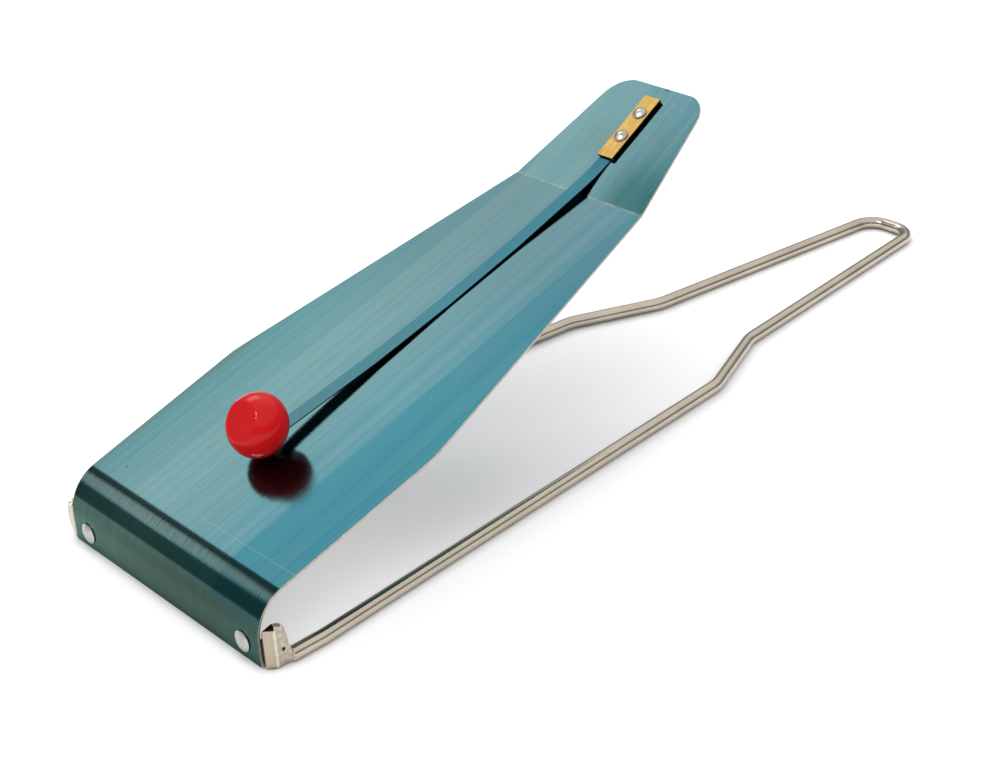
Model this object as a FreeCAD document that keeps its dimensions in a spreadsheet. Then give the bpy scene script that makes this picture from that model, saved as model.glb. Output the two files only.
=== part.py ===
import FreeCAD, Part
import math
import os
import Sketcher
from enum import IntEnum, auto

# A flexatone: a bent spring-steel tongue riveted across the open end of a bent wire frame.
# Two beaters, each a bead on a thin leaf spring, are clamped to the tongue's thumb tab,
# one above the tongue and one below it.
# The frame of the part: X across, Y from the flange towards the handle loop, Z up.
# The origin is the middle of the flange's bottom edge, on its outer face.

# Driving dimensions, in millimetres and degrees.
SIZES = (
    # The wire frame: one round wire, seen from above, half of it on each side of the middle plane.
    ("overall_length", 288.8),
    ("wire_diameter", 3.7),
    ("loop_half_width", 8.5),
    ("loop_radius", 7.0),
    ("handle_kink_half_span", 17.9),
    ("handle_kink_distance", 194.8),
    ("leg_kink_half_span", 29.4),
    ("leg_kink_distance", 167.4),
    ("kink_radius", 15.0),
    ("leg_bend_distance", 16.0),
    ("leg_bend_radius", 20.0),
    # The wire's ends, hammered flat and folded round behind the flange.
    ("lug_half_span", 42.3),
    ("lug_length", 5.8),
    ("lug_thickness", 1.3),
    ("lug_height", 12.6),
    ("lug_crown_radius", 3.8),
    ("fold_height", 11.0),
    ("fold_radius", 1.2),
    ("leaf_height", 7.0),
    ("leaf_reach", 6.0),
    ("leaf_corner_radius", 2.0),
    ("swage_length", 1.8),
    ("swage_height", 6.4),
    # The tongue plate: one sheet, with its lengths taken between the corners of its unrounded bends.
    ("sheet_thickness", 0.6),
    ("flange_width", 79.5),
    ("flange_rise", 16.1),
    ("bend_radius", 11.6),
    ("tongue_angle", 17.0),
    ("tongue_length", 150.4),
    ("shoulder_width", 81.5),
    ("shoulder_distance", 57.0),
    ("shoulder_radius", 20.0),
    ("crease_width", 47.5),
    ("crease_angle", 13.2),
    ("crease_radius", 2.5),
    ("tab_length", 40.1),
    ("tip_width", 32.4),
    ("tip_corner_radius", 8.0),
    # The flange rivets.
    ("flange_rivet_half_span", 33.1),
    ("flange_rivet_height", 4.5),
    ("flange_rivet_shank", 3.0),
    ("flange_rivet_head", 5.5),
    ("flange_rivet_head_height", 1.1),
    ("flange_rivet_tail", 4.4),
    ("flange_rivet_tail_height", 0.9),
    # The clamp on the thumb tab, with its distances along the tab from the crease.
    ("clamp_distance", 12.9),
    ("clamp_length", 22.6),
    ("clamp_width", 5.7),
    ("clamp_thickness", 0.8),
    ("clamp_corner_radius", 0.3),
    ("near_rivet_distance", 20.6),
    ("far_rivet_distance", 29.3),
    ("clamp_rivet_shank", 2.0),
    ("clamp_rivet_head", 4.0),
    ("clamp_rivet_head_height", 1.1),
    ("clamp_rivet_tail", 3.4),
    ("clamp_rivet_tail_height", 0.8),
    ("rivet_rim", 0.3),
    # The leaf springs, with the corners of their unrounded bends.
    ("strip_width", 4.2),
    ("strip_thickness", 0.35),
    ("strip_setback", 1.0),
    ("upper_bend_distance", 8.4),
    ("upper_bend_angle", 9.7),
    ("upper_bend_radius", 50.0),
    ("upper_first_leg", 60.0),
    ("upper_sweep_angle", 8.3),
    ("upper_sweep_radius", 720.0),
    ("upper_last_leg", 57.8),
    ("upper_tip_angle", 45.0),
    ("lower_bend_distance", 6.0),
    ("lower_bend_angle", 11.5),
    ("lower_bend_radius", 30.0),
    ("lower_leg", 101.0),
    ("lower_tip_angle", 48.0),
    ("tip_bend_radius", 3.0),
    ("tang_length", 6.5),
    # The beads: balls with a flat face at each end.
    ("bead_diameter", 16.6),
    ("bead_length", 11.2),
    ("bead_face_diameter", 10.8),
    ("bead_rim_radius", 0.5),
    # Clearances: round the rivets of one body, round the rivets that a spring moves on, in the bead's slot,
    # and between the flange's side and the fold of the lug.
    ("rivet_clearance", 0.1),
    ("spring_clearance", 0.6),
    ("slot_clearance", 0.1),
    ("fold_clearance", 0.4),
)

# Sizes that follow from the driving dimensions.
# The frame of the tab has its origin on the crease, its Y axis up the tab and its Z axis off the upper face.
DERIVED = (
    ("wire_radius", "dims.wire_diameter / 2"),
    ("loop_distance", "dims.overall_length - places.wire_radius"),
    ("swage_distance", "dims.lug_length + dims.swage_length"),
    ("leaf_back", "dims.sheet_thickness + dims.lug_thickness"),
    ("leaf_middle", "dims.sheet_thickness + dims.lug_thickness / 2"),
    ("leaf_end", "dims.flange_rivet_half_span - dims.leaf_reach"),
    ("leaf_step", "dims.flange_width / 2 + dims.fold_clearance"),
    ("blank_half_width", "(dims.flange_width + dims.shoulder_width + dims.crease_width) / 2"),
    ("shoulder_y", "dims.shoulder_distance * cos(dims.tongue_angle)"),
    ("crease_y", "dims.tongue_length * cos(dims.tongue_angle)"),
    ("crease_z", "dims.flange_rise + dims.tongue_length * sin(dims.tongue_angle)"),
    ("tab_angle", "dims.tongue_angle + dims.crease_angle"),
    ("tip_y", "places.crease_y + dims.tab_length * cos(places.tab_angle)"),
    ("blank_y", "places.crease_y + (dims.tab_length + dims.sheet_thickness) * cos(places.tab_angle)"),
    ("blank_z", "places.crease_z + (dims.tab_length + dims.sheet_thickness) * sin(places.tab_angle)"),
    ("strip_end", "dims.clamp_distance + dims.clamp_length - dims.strip_setback"),
    ("clamp_top", "dims.strip_thickness + dims.clamp_thickness"),
    ("clamp_grip", "2 * places.clamp_top + dims.sheet_thickness"),
    # The upper spring turns upwards at each of its bends.
    ("upper_sweep_y", "dims.upper_bend_distance - dims.upper_first_leg * cos(dims.upper_bend_angle)"),
    ("upper_sweep_z", "dims.upper_first_leg * sin(dims.upper_bend_angle)"),
    ("upper_slope", "dims.upper_bend_angle + dims.upper_sweep_angle"),
    ("upper_tip_y", "places.upper_sweep_y - dims.upper_last_leg * cos(places.upper_slope)"),
    ("upper_tip_z", "places.upper_sweep_z + dims.upper_last_leg * sin(places.upper_slope)"),
    ("upper_turn", "places.upper_slope + dims.upper_tip_angle"),
    ("upper_seat", "dims.tip_bend_radius * tan(dims.upper_tip_angle / 2)"),
    ("upper_face_y", "places.upper_tip_y - places.upper_seat * cos(places.upper_turn)"),
    ("upper_face_z", "places.upper_tip_z + places.upper_seat * sin(places.upper_turn)"),
    ("upper_tang_y", "places.upper_face_y - dims.tang_length * cos(places.upper_turn)"),
    ("upper_tang_z", "places.upper_face_z + dims.tang_length * sin(places.upper_turn)"),
    ("upper_bead_y", "places.upper_face_y + dims.strip_thickness / 2 * sin(places.upper_turn)"),
    ("upper_bead_z", "places.upper_face_z + dims.strip_thickness / 2 * cos(places.upper_turn)"),
    # The lower spring turns up along the tongue, and down again at its tip.
    ("lower_tip_y", "-dims.lower_bend_distance - dims.lower_leg * cos(dims.lower_bend_angle)"),
    ("lower_tip_z", "dims.lower_leg * sin(dims.lower_bend_angle) - dims.sheet_thickness"),
    ("lower_turn", "dims.lower_bend_angle - dims.lower_tip_angle"),
    ("lower_seat", "dims.tip_bend_radius * tan(dims.lower_tip_angle / 2)"),
    ("lower_face_y", "places.lower_tip_y - places.lower_seat * cos(places.lower_turn)"),
    ("lower_face_z", "places.lower_tip_z + places.lower_seat * sin(places.lower_turn)"),
    ("lower_tang_y", "places.lower_face_y - dims.tang_length * cos(places.lower_turn)"),
    ("lower_tang_z", "places.lower_face_z + dims.tang_length * sin(places.lower_turn)"),
    ("lower_bead_y", "places.lower_face_y - dims.strip_thickness / 2 * sin(places.lower_turn)"),
    ("lower_bead_z", "places.lower_face_z - dims.strip_thickness / 2 * cos(places.lower_turn)"),
    # The side of a bead is one arc, from the rim of a flat face over the widest place to the other rim.
    ("bead_swell", "(dims.bead_diameter - dims.bead_face_diameter) / 2"),
    ("bead_side_radius", "places.bead_swell / 2 + dims.bead_length ^ 2 / (8 * places.bead_swell)"),
)

X_AXIS = FreeCAD.Vector(1, 0, 0)
Z_AXIS = FreeCAD.Vector(0, 0, 1)
ROOT_POINT = (-1, 1)
TOUCH = 0.01


class Spot(IntEnum):
    """The points of a sketched curve, numbered as a sketch numbers them."""

    START = auto()
    END = auto()
    CENTRE = auto()


doc = FreeCAD.newDocument("flexatone")


def fill_sheet(name, cells):
    """Make a sheet with one named cell per row."""
    new = doc.addObject("Spreadsheet::Sheet", name)
    for row, (alias, content) in enumerate(cells, start=1):
        new.set(f"A{row}", content)
        new.setAlias(f"A{row}", alias)
    doc.recompute()
    return new


dims = fill_sheet("dims", [(name, str(size)) for name, size in SIZES])
places = fill_sheet("places", [(name, f"={formula}") for name, formula in DERIVED])


def value(expression):
    """The number that an expression in the sheets' names stands for."""
    return float(places.evalExpression(expression))


def new_body(label):
    """An empty sub-part."""
    body = doc.addObject("PartDesign::Body", label)
    body.Label = label
    return body


def origin_plane(body, role):
    return next(f for f in body.Origin.OriginFeatures if f.Role == role)


def new_sketch(body, name, role, lift="0"):
    """A sketch on an origin plane of its own body, lifted off it along the plane's normal."""
    sketch = body.newObject("Sketcher::SketchObject", f"{body.Label}_{name}")
    sketch.AttachmentSupport = (origin_plane(body, role), [""])
    sketch.MapMode = "FlatFace"
    sketch.setExpression("AttachmentOffset.Base.z", lift)
    return sketch


def bind(sketch, constraint, expression):
    """Add a constraint whose size is an expression."""
    index = sketch.addConstraint(constraint)
    sketch.setExpression(f"Constraints[{index}]", expression)


def hold_point(sketch, geometry, position, x, y):
    """Place a point of the sketch by its two distances from the sketch's origin."""
    bind(sketch, Sketcher.Constraint("DistanceX", *ROOT_POINT, geometry, position, value(x)), x)
    bind(sketch, Sketcher.Constraint("DistanceY", *ROOT_POINT, geometry, position, value(y)), y)


def sketch_point(x, y):
    return FreeCAD.Vector(value(x), value(y), 0)


def nearest_end(sketch, geometry, point):
    """The end of a curve that lies at the point."""
    first = sketch.getPoint(geometry, Spot.START).distanceToPoint(point)
    last = sketch.getPoint(geometry, Spot.END).distanceToPoint(point)
    return Spot.START if first < last else Spot.END


def draw_bend(sketch, before, after, corner, radius):
    """Join two legs by an arc, with the corner where they would meet held in place."""
    apex = sketch_point(*corner)
    leave = sketch.getPoint(before, Spot.END)
    enter = sketch.getPoint(after, Spot.START)
    inward = (leave + enter - apex * 2).normalize()
    tangent = leave.distanceToPoint(apex)
    middle = apex + inward * (math.hypot(tangent, value(radius)) - value(radius))
    bend = sketch.addGeometry(Part.Arc(leave, middle, enter))
    first = nearest_end(sketch, bend, leave)
    last = nearest_end(sketch, bend, enter)
    held = sketch.addGeometry(Part.Point(apex), True)
    sketch.addConstraint(Sketcher.Constraint("Tangent", before, Spot.END, bend, first))
    sketch.addConstraint(Sketcher.Constraint("Tangent", bend, last, after, Spot.START))
    sketch.addConstraint(Sketcher.Constraint("PointOnObject", held, Spot.START, before))
    sketch.addConstraint(Sketcher.Constraint("PointOnObject", held, Spot.START, after))
    hold_point(sketch, held, Spot.START, *corner)
    bind(sketch, Sketcher.Constraint("Radius", bend, value(radius)), radius)


def draw_legs(sketch, corners, bends, closed):
    """Straight legs through the corners; bends gives the radius of each rounded corner, by its number."""
    points = [sketch_point(*corner) for corner in corners]
    count = len(points)
    leaves = list(points)
    enters = list(points)
    for number, radius in bends.items():
        back = (points[number - 1] - points[number]).normalize()
        onward = (points[(number + 1) % count] - points[number]).normalize()
        tangent = value(radius) / math.tan(back.getAngle(onward) / 2)
        enters[number] = points[number] + back * tangent
        leaves[number] = points[number] + onward * tangent
    leg_count = count if closed else count - 1
    legs = []
    for number in range(leg_count):
        legs.append(sketch.addGeometry(Part.LineSegment(leaves[number], enters[(number + 1) % count])))
    if not closed:
        hold_point(sketch, legs[0], Spot.START, *corners[0])
        hold_point(sketch, legs[-1], Spot.END, *corners[-1])
    for number in range(0 if closed else 1, leg_count):
        before, after = legs[number - 1], legs[number]
        if number in bends:
            draw_bend(sketch, before, after, corners[number], bends[number])
        else:
            sketch.addConstraint(Sketcher.Constraint("Coincident", before, Spot.END, after, Spot.START))
            hold_point(sketch, after, Spot.START, *corners[number])


def outline(sketch, corners, bends=None):
    """A closed outline."""
    draw_legs(sketch, corners, bends or {}, True)


def route(sketch, corners, radii):
    """An open path with a round bend at each corner between its two ends."""
    draw_legs(sketch, corners, dict(enumerate(radii, start=1)), False)


def circle(sketch, x, y, diameter):
    """A circle placed by its centre."""
    geometry = sketch.addGeometry(Part.Circle(sketch_point(x, y), Z_AXIS, value(diameter) / 2))
    hold_point(sketch, geometry, Spot.CENTRE, x, y)
    bind(sketch, Sketcher.Constraint("Diameter", geometry, value(diameter)), diameter)


def ellipse(sketch, x, y, width, height):
    """An upright ellipse, taller than it is wide."""
    centre = sketch_point(x, y)
    top = centre + FreeCAD.Vector(0, value(height) / 2, 0)
    side = centre + FreeCAD.Vector(value(width) / 2, 0, 0)
    geometry = sketch.addGeometry(Part.Ellipse(top, side, centre))
    sketch.exposeInternalGeometry(geometry)
    major, minor = geometry + 1, geometry + 2
    hold_point(sketch, geometry, Spot.CENTRE, x, y)
    sketch.addConstraint(Sketcher.Constraint("Vertical", major))
    bind(sketch, Sketcher.Constraint("Distance", major, Spot.START, major, Spot.END, value(height)), height)
    bind(sketch, Sketcher.Constraint("Distance", minor, Spot.START, minor, Spot.END, value(width)), width)


def rectangle(sketch, low_x, low_y, high_x, high_y):
    outline(sketch, ((low_x, low_y), (high_x, low_y), (high_x, high_y), (low_x, high_y)))


def add_pipe(body, name, section, path):
    """The section carried along the path."""
    pipe = body.newObject("PartDesign::AdditivePipe", f"{body.Label}_{name}")
    pipe.Profile = section
    doc.recompute()
    pipe.Spine = (path, [f"Edge{number + 1}" for number in range(len(path.Shape.Edges))])
    return pipe


def add_loft(body, name, first, last):
    loft = body.newObject("PartDesign::AdditiveLoft", f"{body.Label}_{name}")
    loft.Profile = first
    loft.Sections = [last]
    return loft


def add_pad(body, name, sketch, length):
    pad = body.newObject("PartDesign::Pad", f"{body.Label}_{name}")
    pad.Profile = sketch
    pad.setExpression("Length", length)
    return pad


def add_revolution(body, name, sketch):
    turned = body.newObject("PartDesign::Revolution", f"{body.Label}_{name}")
    turned.Profile = sketch
    turned.ReferenceAxis = (sketch, ["V_Axis"])
    turned.Angle = 360
    return turned


def cut(body, name, sketch, length=None, turned_over=False):
    """Cut a sketch's outlines out of the body, by a length or right through, and check that they cut."""
    doc.recompute()
    before = body.Shape.Volume
    pocket = body.newObject("PartDesign::Pocket", f"{body.Label}_{name}")
    pocket.Profile = sketch
    pocket.Reversed = turned_over
    if length is None:
        pocket.Type = "ThroughAll"
    else:
        pocket.setExpression("Length", length)
    doc.recompute()
    if not body.Shape.Volume < before:
        raise RuntimeError(f"{pocket.Name} cuts nothing")
    return pocket


def round_edges(body, name, chosen, radius):
    """Round the edges of the body for which chosen, a test of an edge, is true."""
    doc.recompute()
    base = body.Tip
    edges = [f"Edge{n}" for n, edge in enumerate(base.Shape.Edges, start=1) if chosen(edge)]
    if not edges:
        raise RuntimeError(f"{body.Label} has no edge to round for {name}")
    fillet = body.newObject("PartDesign::Fillet", f"{body.Label}_{name}")
    fillet.Base = (base, edges)
    fillet.setExpression("Radius", radius)
    return fillet


def near(number, expression):
    return abs(number - value(expression)) < TOUCH


def stand_off_crease(body, along, off, facing):
    """Stand the body's own frame at a place in the frame of the tab, turned about X to its own facing."""
    tab = "places.tab_angle"
    body.Placement = FreeCAD.Placement(FreeCAD.Vector(), FreeCAD.Rotation(X_AXIS, value(facing)))
    body.setExpression("Placement.Base.y", f"places.crease_y + {along} * cos({tab}) - {off} * sin({tab})")
    body.setExpression("Placement.Base.z", f"places.crease_z + {along} * sin({tab}) + {off} * cos({tab})")
    body.setExpression("Placement.Rotation.Angle", facing)


def make_wire_frame():
    """One bent wire with flattened ends: half of it is modelled, then mirrored."""
    body = new_body("wire_frame")
    path = new_sketch(body, "path", "XY_Plane", "places.wire_radius")
    route(
        path,
        (
            ("0", "places.loop_distance"),
            ("dims.loop_half_width", "places.loop_distance"),
            ("dims.handle_kink_half_span", "dims.handle_kink_distance"),
            ("dims.leg_kink_half_span", "dims.leg_kink_distance"),
            ("dims.lug_half_span", "dims.leg_bend_distance"),
            ("dims.lug_half_span", "places.swage_distance"),
        ),
        ("dims.loop_radius", "dims.kink_radius", "dims.kink_radius", "dims.leg_bend_radius"),
    )
    section = new_sketch(body, "section", "YZ_Plane")
    circle(section, "places.loop_distance", "places.wire_radius", "dims.wire_diameter")
    add_pipe(body, "wire", section, path)

    round_end = new_sketch(body, "round_end", "XZ_Plane", "-places.swage_distance")
    circle(round_end, "dims.lug_half_span", "places.wire_radius", "dims.wire_diameter")
    flat_end = new_sketch(body, "flat_end", "XZ_Plane", "-dims.lug_length")
    ellipse(
        flat_end,
        "dims.lug_half_span",
        "dims.swage_height / 2",
        "dims.lug_thickness",
        "dims.swage_height",
    )
    add_loft(body, "swage", round_end, flat_end)

    fold = new_sketch(body, "fold", "XY_Plane")
    route(
        fold,
        (
            ("dims.lug_half_span", "dims.lug_length"),
            ("dims.lug_half_span", "places.leaf_middle"),
            ("places.leaf_end", "places.leaf_middle"),
        ),
        ("dims.fold_radius",),
    )
    band = new_sketch(body, "band", "XZ_Plane", "-dims.lug_length")
    rectangle(
        band,
        "dims.lug_half_span - dims.lug_thickness / 2",
        "0",
        "dims.lug_half_span + dims.lug_thickness / 2",
        "dims.lug_height",
    )
    add_pipe(body, "lug", band, fold)

    # The leaf behind the flange is low enough to clear the tongue's bend, and the fold beside it is taller.
    trim = new_sketch(body, "trim", "XZ_Plane")
    outline(
        trim,
        (
            ("places.leaf_end - dims.lug_thickness", "dims.leaf_height"),
            ("places.leaf_step", "dims.leaf_height"),
            ("places.leaf_step", "dims.fold_height"),
            ("dims.lug_half_span + dims.lug_thickness", "dims.fold_height"),
            ("dims.lug_half_span + dims.lug_thickness", "dims.lug_height + dims.lug_thickness"),
            ("places.leaf_end - dims.lug_thickness", "dims.lug_height + dims.lug_thickness"),
        ),
    )
    cut(body, "step", trim, "places.leaf_back")
    hole = new_sketch(body, "hole", "XZ_Plane")
    circle(
        hole,
        "dims.flange_rivet_half_span",
        "dims.flange_rivet_height",
        "dims.flange_rivet_shank + dims.rivet_clearance",
    )
    cut(body, "rivet_hole", hole, "places.leaf_back + dims.lug_thickness / 2")

    def crown(edge):
        centre = edge.CenterOfMass
        return near(centre.y, "dims.lug_length") and near(centre.z, "dims.lug_height")

    def leaf_corner(edge):
        centre = edge.CenterOfMass
        return near(centre.x, "places.leaf_end") and near(centre.y, "places.leaf_middle")

    round_edges(body, "crown", crown, "dims.lug_crown_radius")
    round_edges(body, "leaf_corners", leaf_corner, "dims.leaf_corner_radius")
    doc.recompute()
    mirror = body.newObject("PartDesign::Mirrored", "wire_frame_mirror")
    mirror.TransformMode = "Whole shape"
    mirror.MirrorPlane = (origin_plane(body, "YZ_Plane"), [""])
    body.Tip = mirror
    return body


def make_tongue_plate():
    """The sheet: bent along its length, then cut to its outline and drilled."""
    body = new_body("tongue_plate")
    path = new_sketch(body, "path", "YZ_Plane")
    route(
        path,
        (
            ("0", "0"),
            ("0", "dims.flange_rise"),
            ("places.crease_y", "places.crease_z"),
            ("places.blank_y", "places.blank_z"),
        ),
        ("dims.bend_radius", "dims.crease_radius"),
    )
    section = new_sketch(body, "section", "XY_Plane")
    rectangle(section, "-places.blank_half_width", "0", "places.blank_half_width", "dims.sheet_thickness")
    add_pipe(body, "sheet", section, path)

    waste = new_sketch(body, "waste", "XY_Plane", "-dims.sheet_thickness")
    outline(
        waste,
        (
            ("dims.flange_width / 2", "-dims.sheet_thickness"),
            ("dims.flange_width / 2", "dims.sheet_thickness"),
            ("dims.shoulder_width / 2", "places.shoulder_y"),
            ("dims.crease_width / 2", "places.crease_y"),
            ("dims.tip_width / 2", "places.tip_y"),
            ("-dims.tip_width / 2", "places.tip_y"),
            ("-dims.crease_width / 2", "places.crease_y"),
            ("-dims.shoulder_width / 2", "places.shoulder_y"),
            ("-dims.flange_width / 2", "dims.sheet_thickness"),
            ("-dims.flange_width / 2", "-dims.sheet_thickness"),
            ("-2 * places.blank_half_width", "-dims.sheet_thickness"),
            ("-2 * places.blank_half_width", "places.blank_y + dims.sheet_thickness"),
            ("2 * places.blank_half_width", "places.blank_y + dims.sheet_thickness"),
            ("2 * places.blank_half_width", "-dims.sheet_thickness"),
        ),
        {
            2: "dims.shoulder_radius",
            4: "dims.tip_corner_radius",
            5: "dims.tip_corner_radius",
            7: "dims.shoulder_radius",
        },
    )
    cut(body, "outline", waste, turned_over=True)

    flange_holes = new_sketch(body, "flange_holes", "XZ_Plane")
    for side in ("", "-"):
        circle(
            flange_holes,
            f"{side}dims.flange_rivet_half_span",
            "dims.flange_rivet_height",
            "dims.flange_rivet_shank + dims.rivet_clearance",
        )
    cut(body, "flange_drill", flange_holes, "2 * dims.sheet_thickness")

    tab_holes = new_sketch(body, "tab_holes", "XY_Plane")
    tab_holes.AttachmentOffset = FreeCAD.Placement(
        FreeCAD.Vector(), FreeCAD.Rotation(X_AXIS, value("places.tab_angle"))
    )
    tab_holes.setExpression("AttachmentOffset.Base.y", "places.crease_y")
    tab_holes.setExpression("AttachmentOffset.Base.z", "places.crease_z")
    tab_holes.setExpression("AttachmentOffset.Rotation.Angle", "places.tab_angle")
    clamp_holes(tab_holes, "dims.rivet_clearance")
    cut(body, "tab_drill", tab_holes, "2 * dims.sheet_thickness")
    return body


def clamp_holes(sketch, clearance):
    """The holes for the two clamp rivets."""
    for distance in ("dims.near_rivet_distance", "dims.far_rivet_distance"):
        circle(sketch, "0", distance, f"dims.clamp_rivet_shank + {clearance}")


def add_dome(body, name, diameter, seat, height, way):
    """A domed rivet head on the body's axis, above its seat for way "+" and below it for "-"."""
    profile = new_sketch(body, f"{name}_profile", "XZ_Plane")
    half = f"{diameter} / 2"
    rim_height = f"{seat} {way} dims.rivet_rim"
    top_height = f"{seat} {way} {height}"
    middle, edge, rim, top = (
        sketch_point("0", seat),
        sketch_point(half, seat),
        sketch_point(half, rim_height),
        sketch_point("0", top_height),
    )
    rise = top.y - rim.y
    centre_height = top.y - (rim.x ** 2 + rise ** 2) / (2 * rise)
    round_face = Part.Circle(FreeCAD.Vector(0, centre_height, 0), Z_AXIS, abs(top.y - centre_height))
    angles = sorted((math.atan2(rim.y - centre_height, rim.x), math.copysign(math.pi / 2, rise)))
    base = profile.addGeometry(Part.LineSegment(middle, edge))
    side = profile.addGeometry(Part.LineSegment(edge, rim))
    dome = profile.addGeometry(Part.ArcOfCircle(round_face, *angles))
    axis = profile.addGeometry(Part.LineSegment(top, middle))
    dome_rim = nearest_end(profile, dome, rim)
    dome_top = nearest_end(profile, dome, top)
    profile.addConstraint(Sketcher.Constraint("Coincident", base, Spot.END, side, Spot.START))
    profile.addConstraint(Sketcher.Constraint("Coincident", side, Spot.END, dome, dome_rim))
    profile.addConstraint(Sketcher.Constraint("Coincident", dome, dome_top, axis, Spot.START))
    profile.addConstraint(Sketcher.Constraint("Coincident", axis, Spot.END, base, Spot.START))
    profile.addConstraint(Sketcher.Constraint("PointOnObject", dome, Spot.CENTRE, axis))
    hold_point(profile, base, Spot.START, "0", seat)
    hold_point(profile, side, Spot.START, half, seat)
    hold_point(profile, side, Spot.END, half, rim_height)
    hold_point(profile, axis, Spot.START, "0", top_height)
    return add_revolution(body, name, profile)


def make_rivet(label, kind, grip):
    """A rivet: a shank through the grip, a domed head above it and a domed tail below it."""
    body = new_body(label)
    bottom = f"-{grip}"
    shank = new_sketch(body, "shank", "XY_Plane", bottom)
    circle(shank, "0", "0", f"dims.{kind}_shank")
    add_pad(body, "stem", shank, grip)
    add_dome(body, "head", f"dims.{kind}_head", "0", f"dims.{kind}_head_height", "+")
    add_dome(body, "tail", f"dims.{kind}_tail", bottom, f"dims.{kind}_tail_height", "-")
    return body


def make_flange_rivet(label, side):
    """A rivet through the flange and the lug's leaf, with its head on the outside."""
    body = make_rivet(label, "flange_rivet", "places.leaf_back")
    body.Placement = FreeCAD.Placement(FreeCAD.Vector(), FreeCAD.Rotation(X_AXIS, 90))
    body.setExpression("Placement.Base.x", f"{side}dims.flange_rivet_half_span")
    body.setExpression("Placement.Base.z", "dims.flange_rivet_height")
    return body


def make_clamp_rivet(label, distance):
    """A rivet through the clamp: both clamp plates, both springs and the tab."""
    body = make_rivet(label, "clamp_rivet", "places.clamp_grip")
    stand_off_crease(body, distance, "places.clamp_top", "places.tab_angle")
    return body


def make_clamp_plate(label, bottom):
    """A small drilled strip of plate that spreads the rivets' hold over a spring."""
    body = new_body(label)
    sketch = new_sketch(body, "outline", "XY_Plane", bottom)
    rectangle(
        sketch,
        "-dims.clamp_width / 2",
        "dims.clamp_distance",
        "dims.clamp_width / 2",
        "dims.clamp_distance + dims.clamp_length",
    )
    clamp_holes(sketch, "dims.rivet_clearance")
    add_pad(body, "plate", sketch, "dims.clamp_thickness")

    def upright(edge):
        centre = edge.CenterOfMass
        return near(abs(centre.x), "dims.clamp_width / 2") and near(edge.Length, "dims.clamp_thickness")

    round_edges(body, "corners", upright, "dims.clamp_corner_radius")
    stand_off_crease(body, "0", "0", "places.tab_angle")
    return body


def make_strip(label, bottom, corners, radii):
    """A leaf spring: a flat strip from under the clamp to the tang in its bead."""
    body = new_body(label)
    path = new_sketch(body, "path", "YZ_Plane")
    route(path, corners, radii)
    section = new_sketch(body, "section", "XZ_Plane", "-places.strip_end")
    rectangle(
        section,
        "-dims.strip_width / 2",
        bottom,
        "dims.strip_width / 2",
        f"{bottom} + dims.strip_thickness",
    )
    add_pipe(body, "spring", section, path)
    holes = new_sketch(body, "holes", "XY_Plane", f"{bottom} + dims.strip_thickness")
    clamp_holes(holes, "dims.spring_clearance")
    cut(body, "drill", holes, "dims.strip_thickness")
    stand_off_crease(body, "0", "0", "places.tab_angle")
    return body


def make_upper_strip():
    return make_strip(
        "upper_spring",
        "0",
        (
            ("places.strip_end", "0"),
            ("dims.upper_bend_distance", "0"),
            ("places.upper_sweep_y", "places.upper_sweep_z"),
            ("places.upper_tip_y", "places.upper_tip_z"),
            ("places.upper_tang_y", "places.upper_tang_z"),
        ),
        ("dims.upper_bend_radius", "dims.upper_sweep_radius", "dims.tip_bend_radius"),
    )


def make_lower_strip():
    return make_strip(
        "lower_spring",
        "-dims.sheet_thickness - dims.strip_thickness",
        (
            ("places.strip_end", "-dims.sheet_thickness"),
            ("-dims.lower_bend_distance", "-dims.sheet_thickness"),
            ("places.lower_tip_y", "places.lower_tip_z"),
            ("places.lower_tang_y", "places.lower_tang_z"),
        ),
        ("dims.lower_bend_radius", "dims.tip_bend_radius"),
    )


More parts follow.
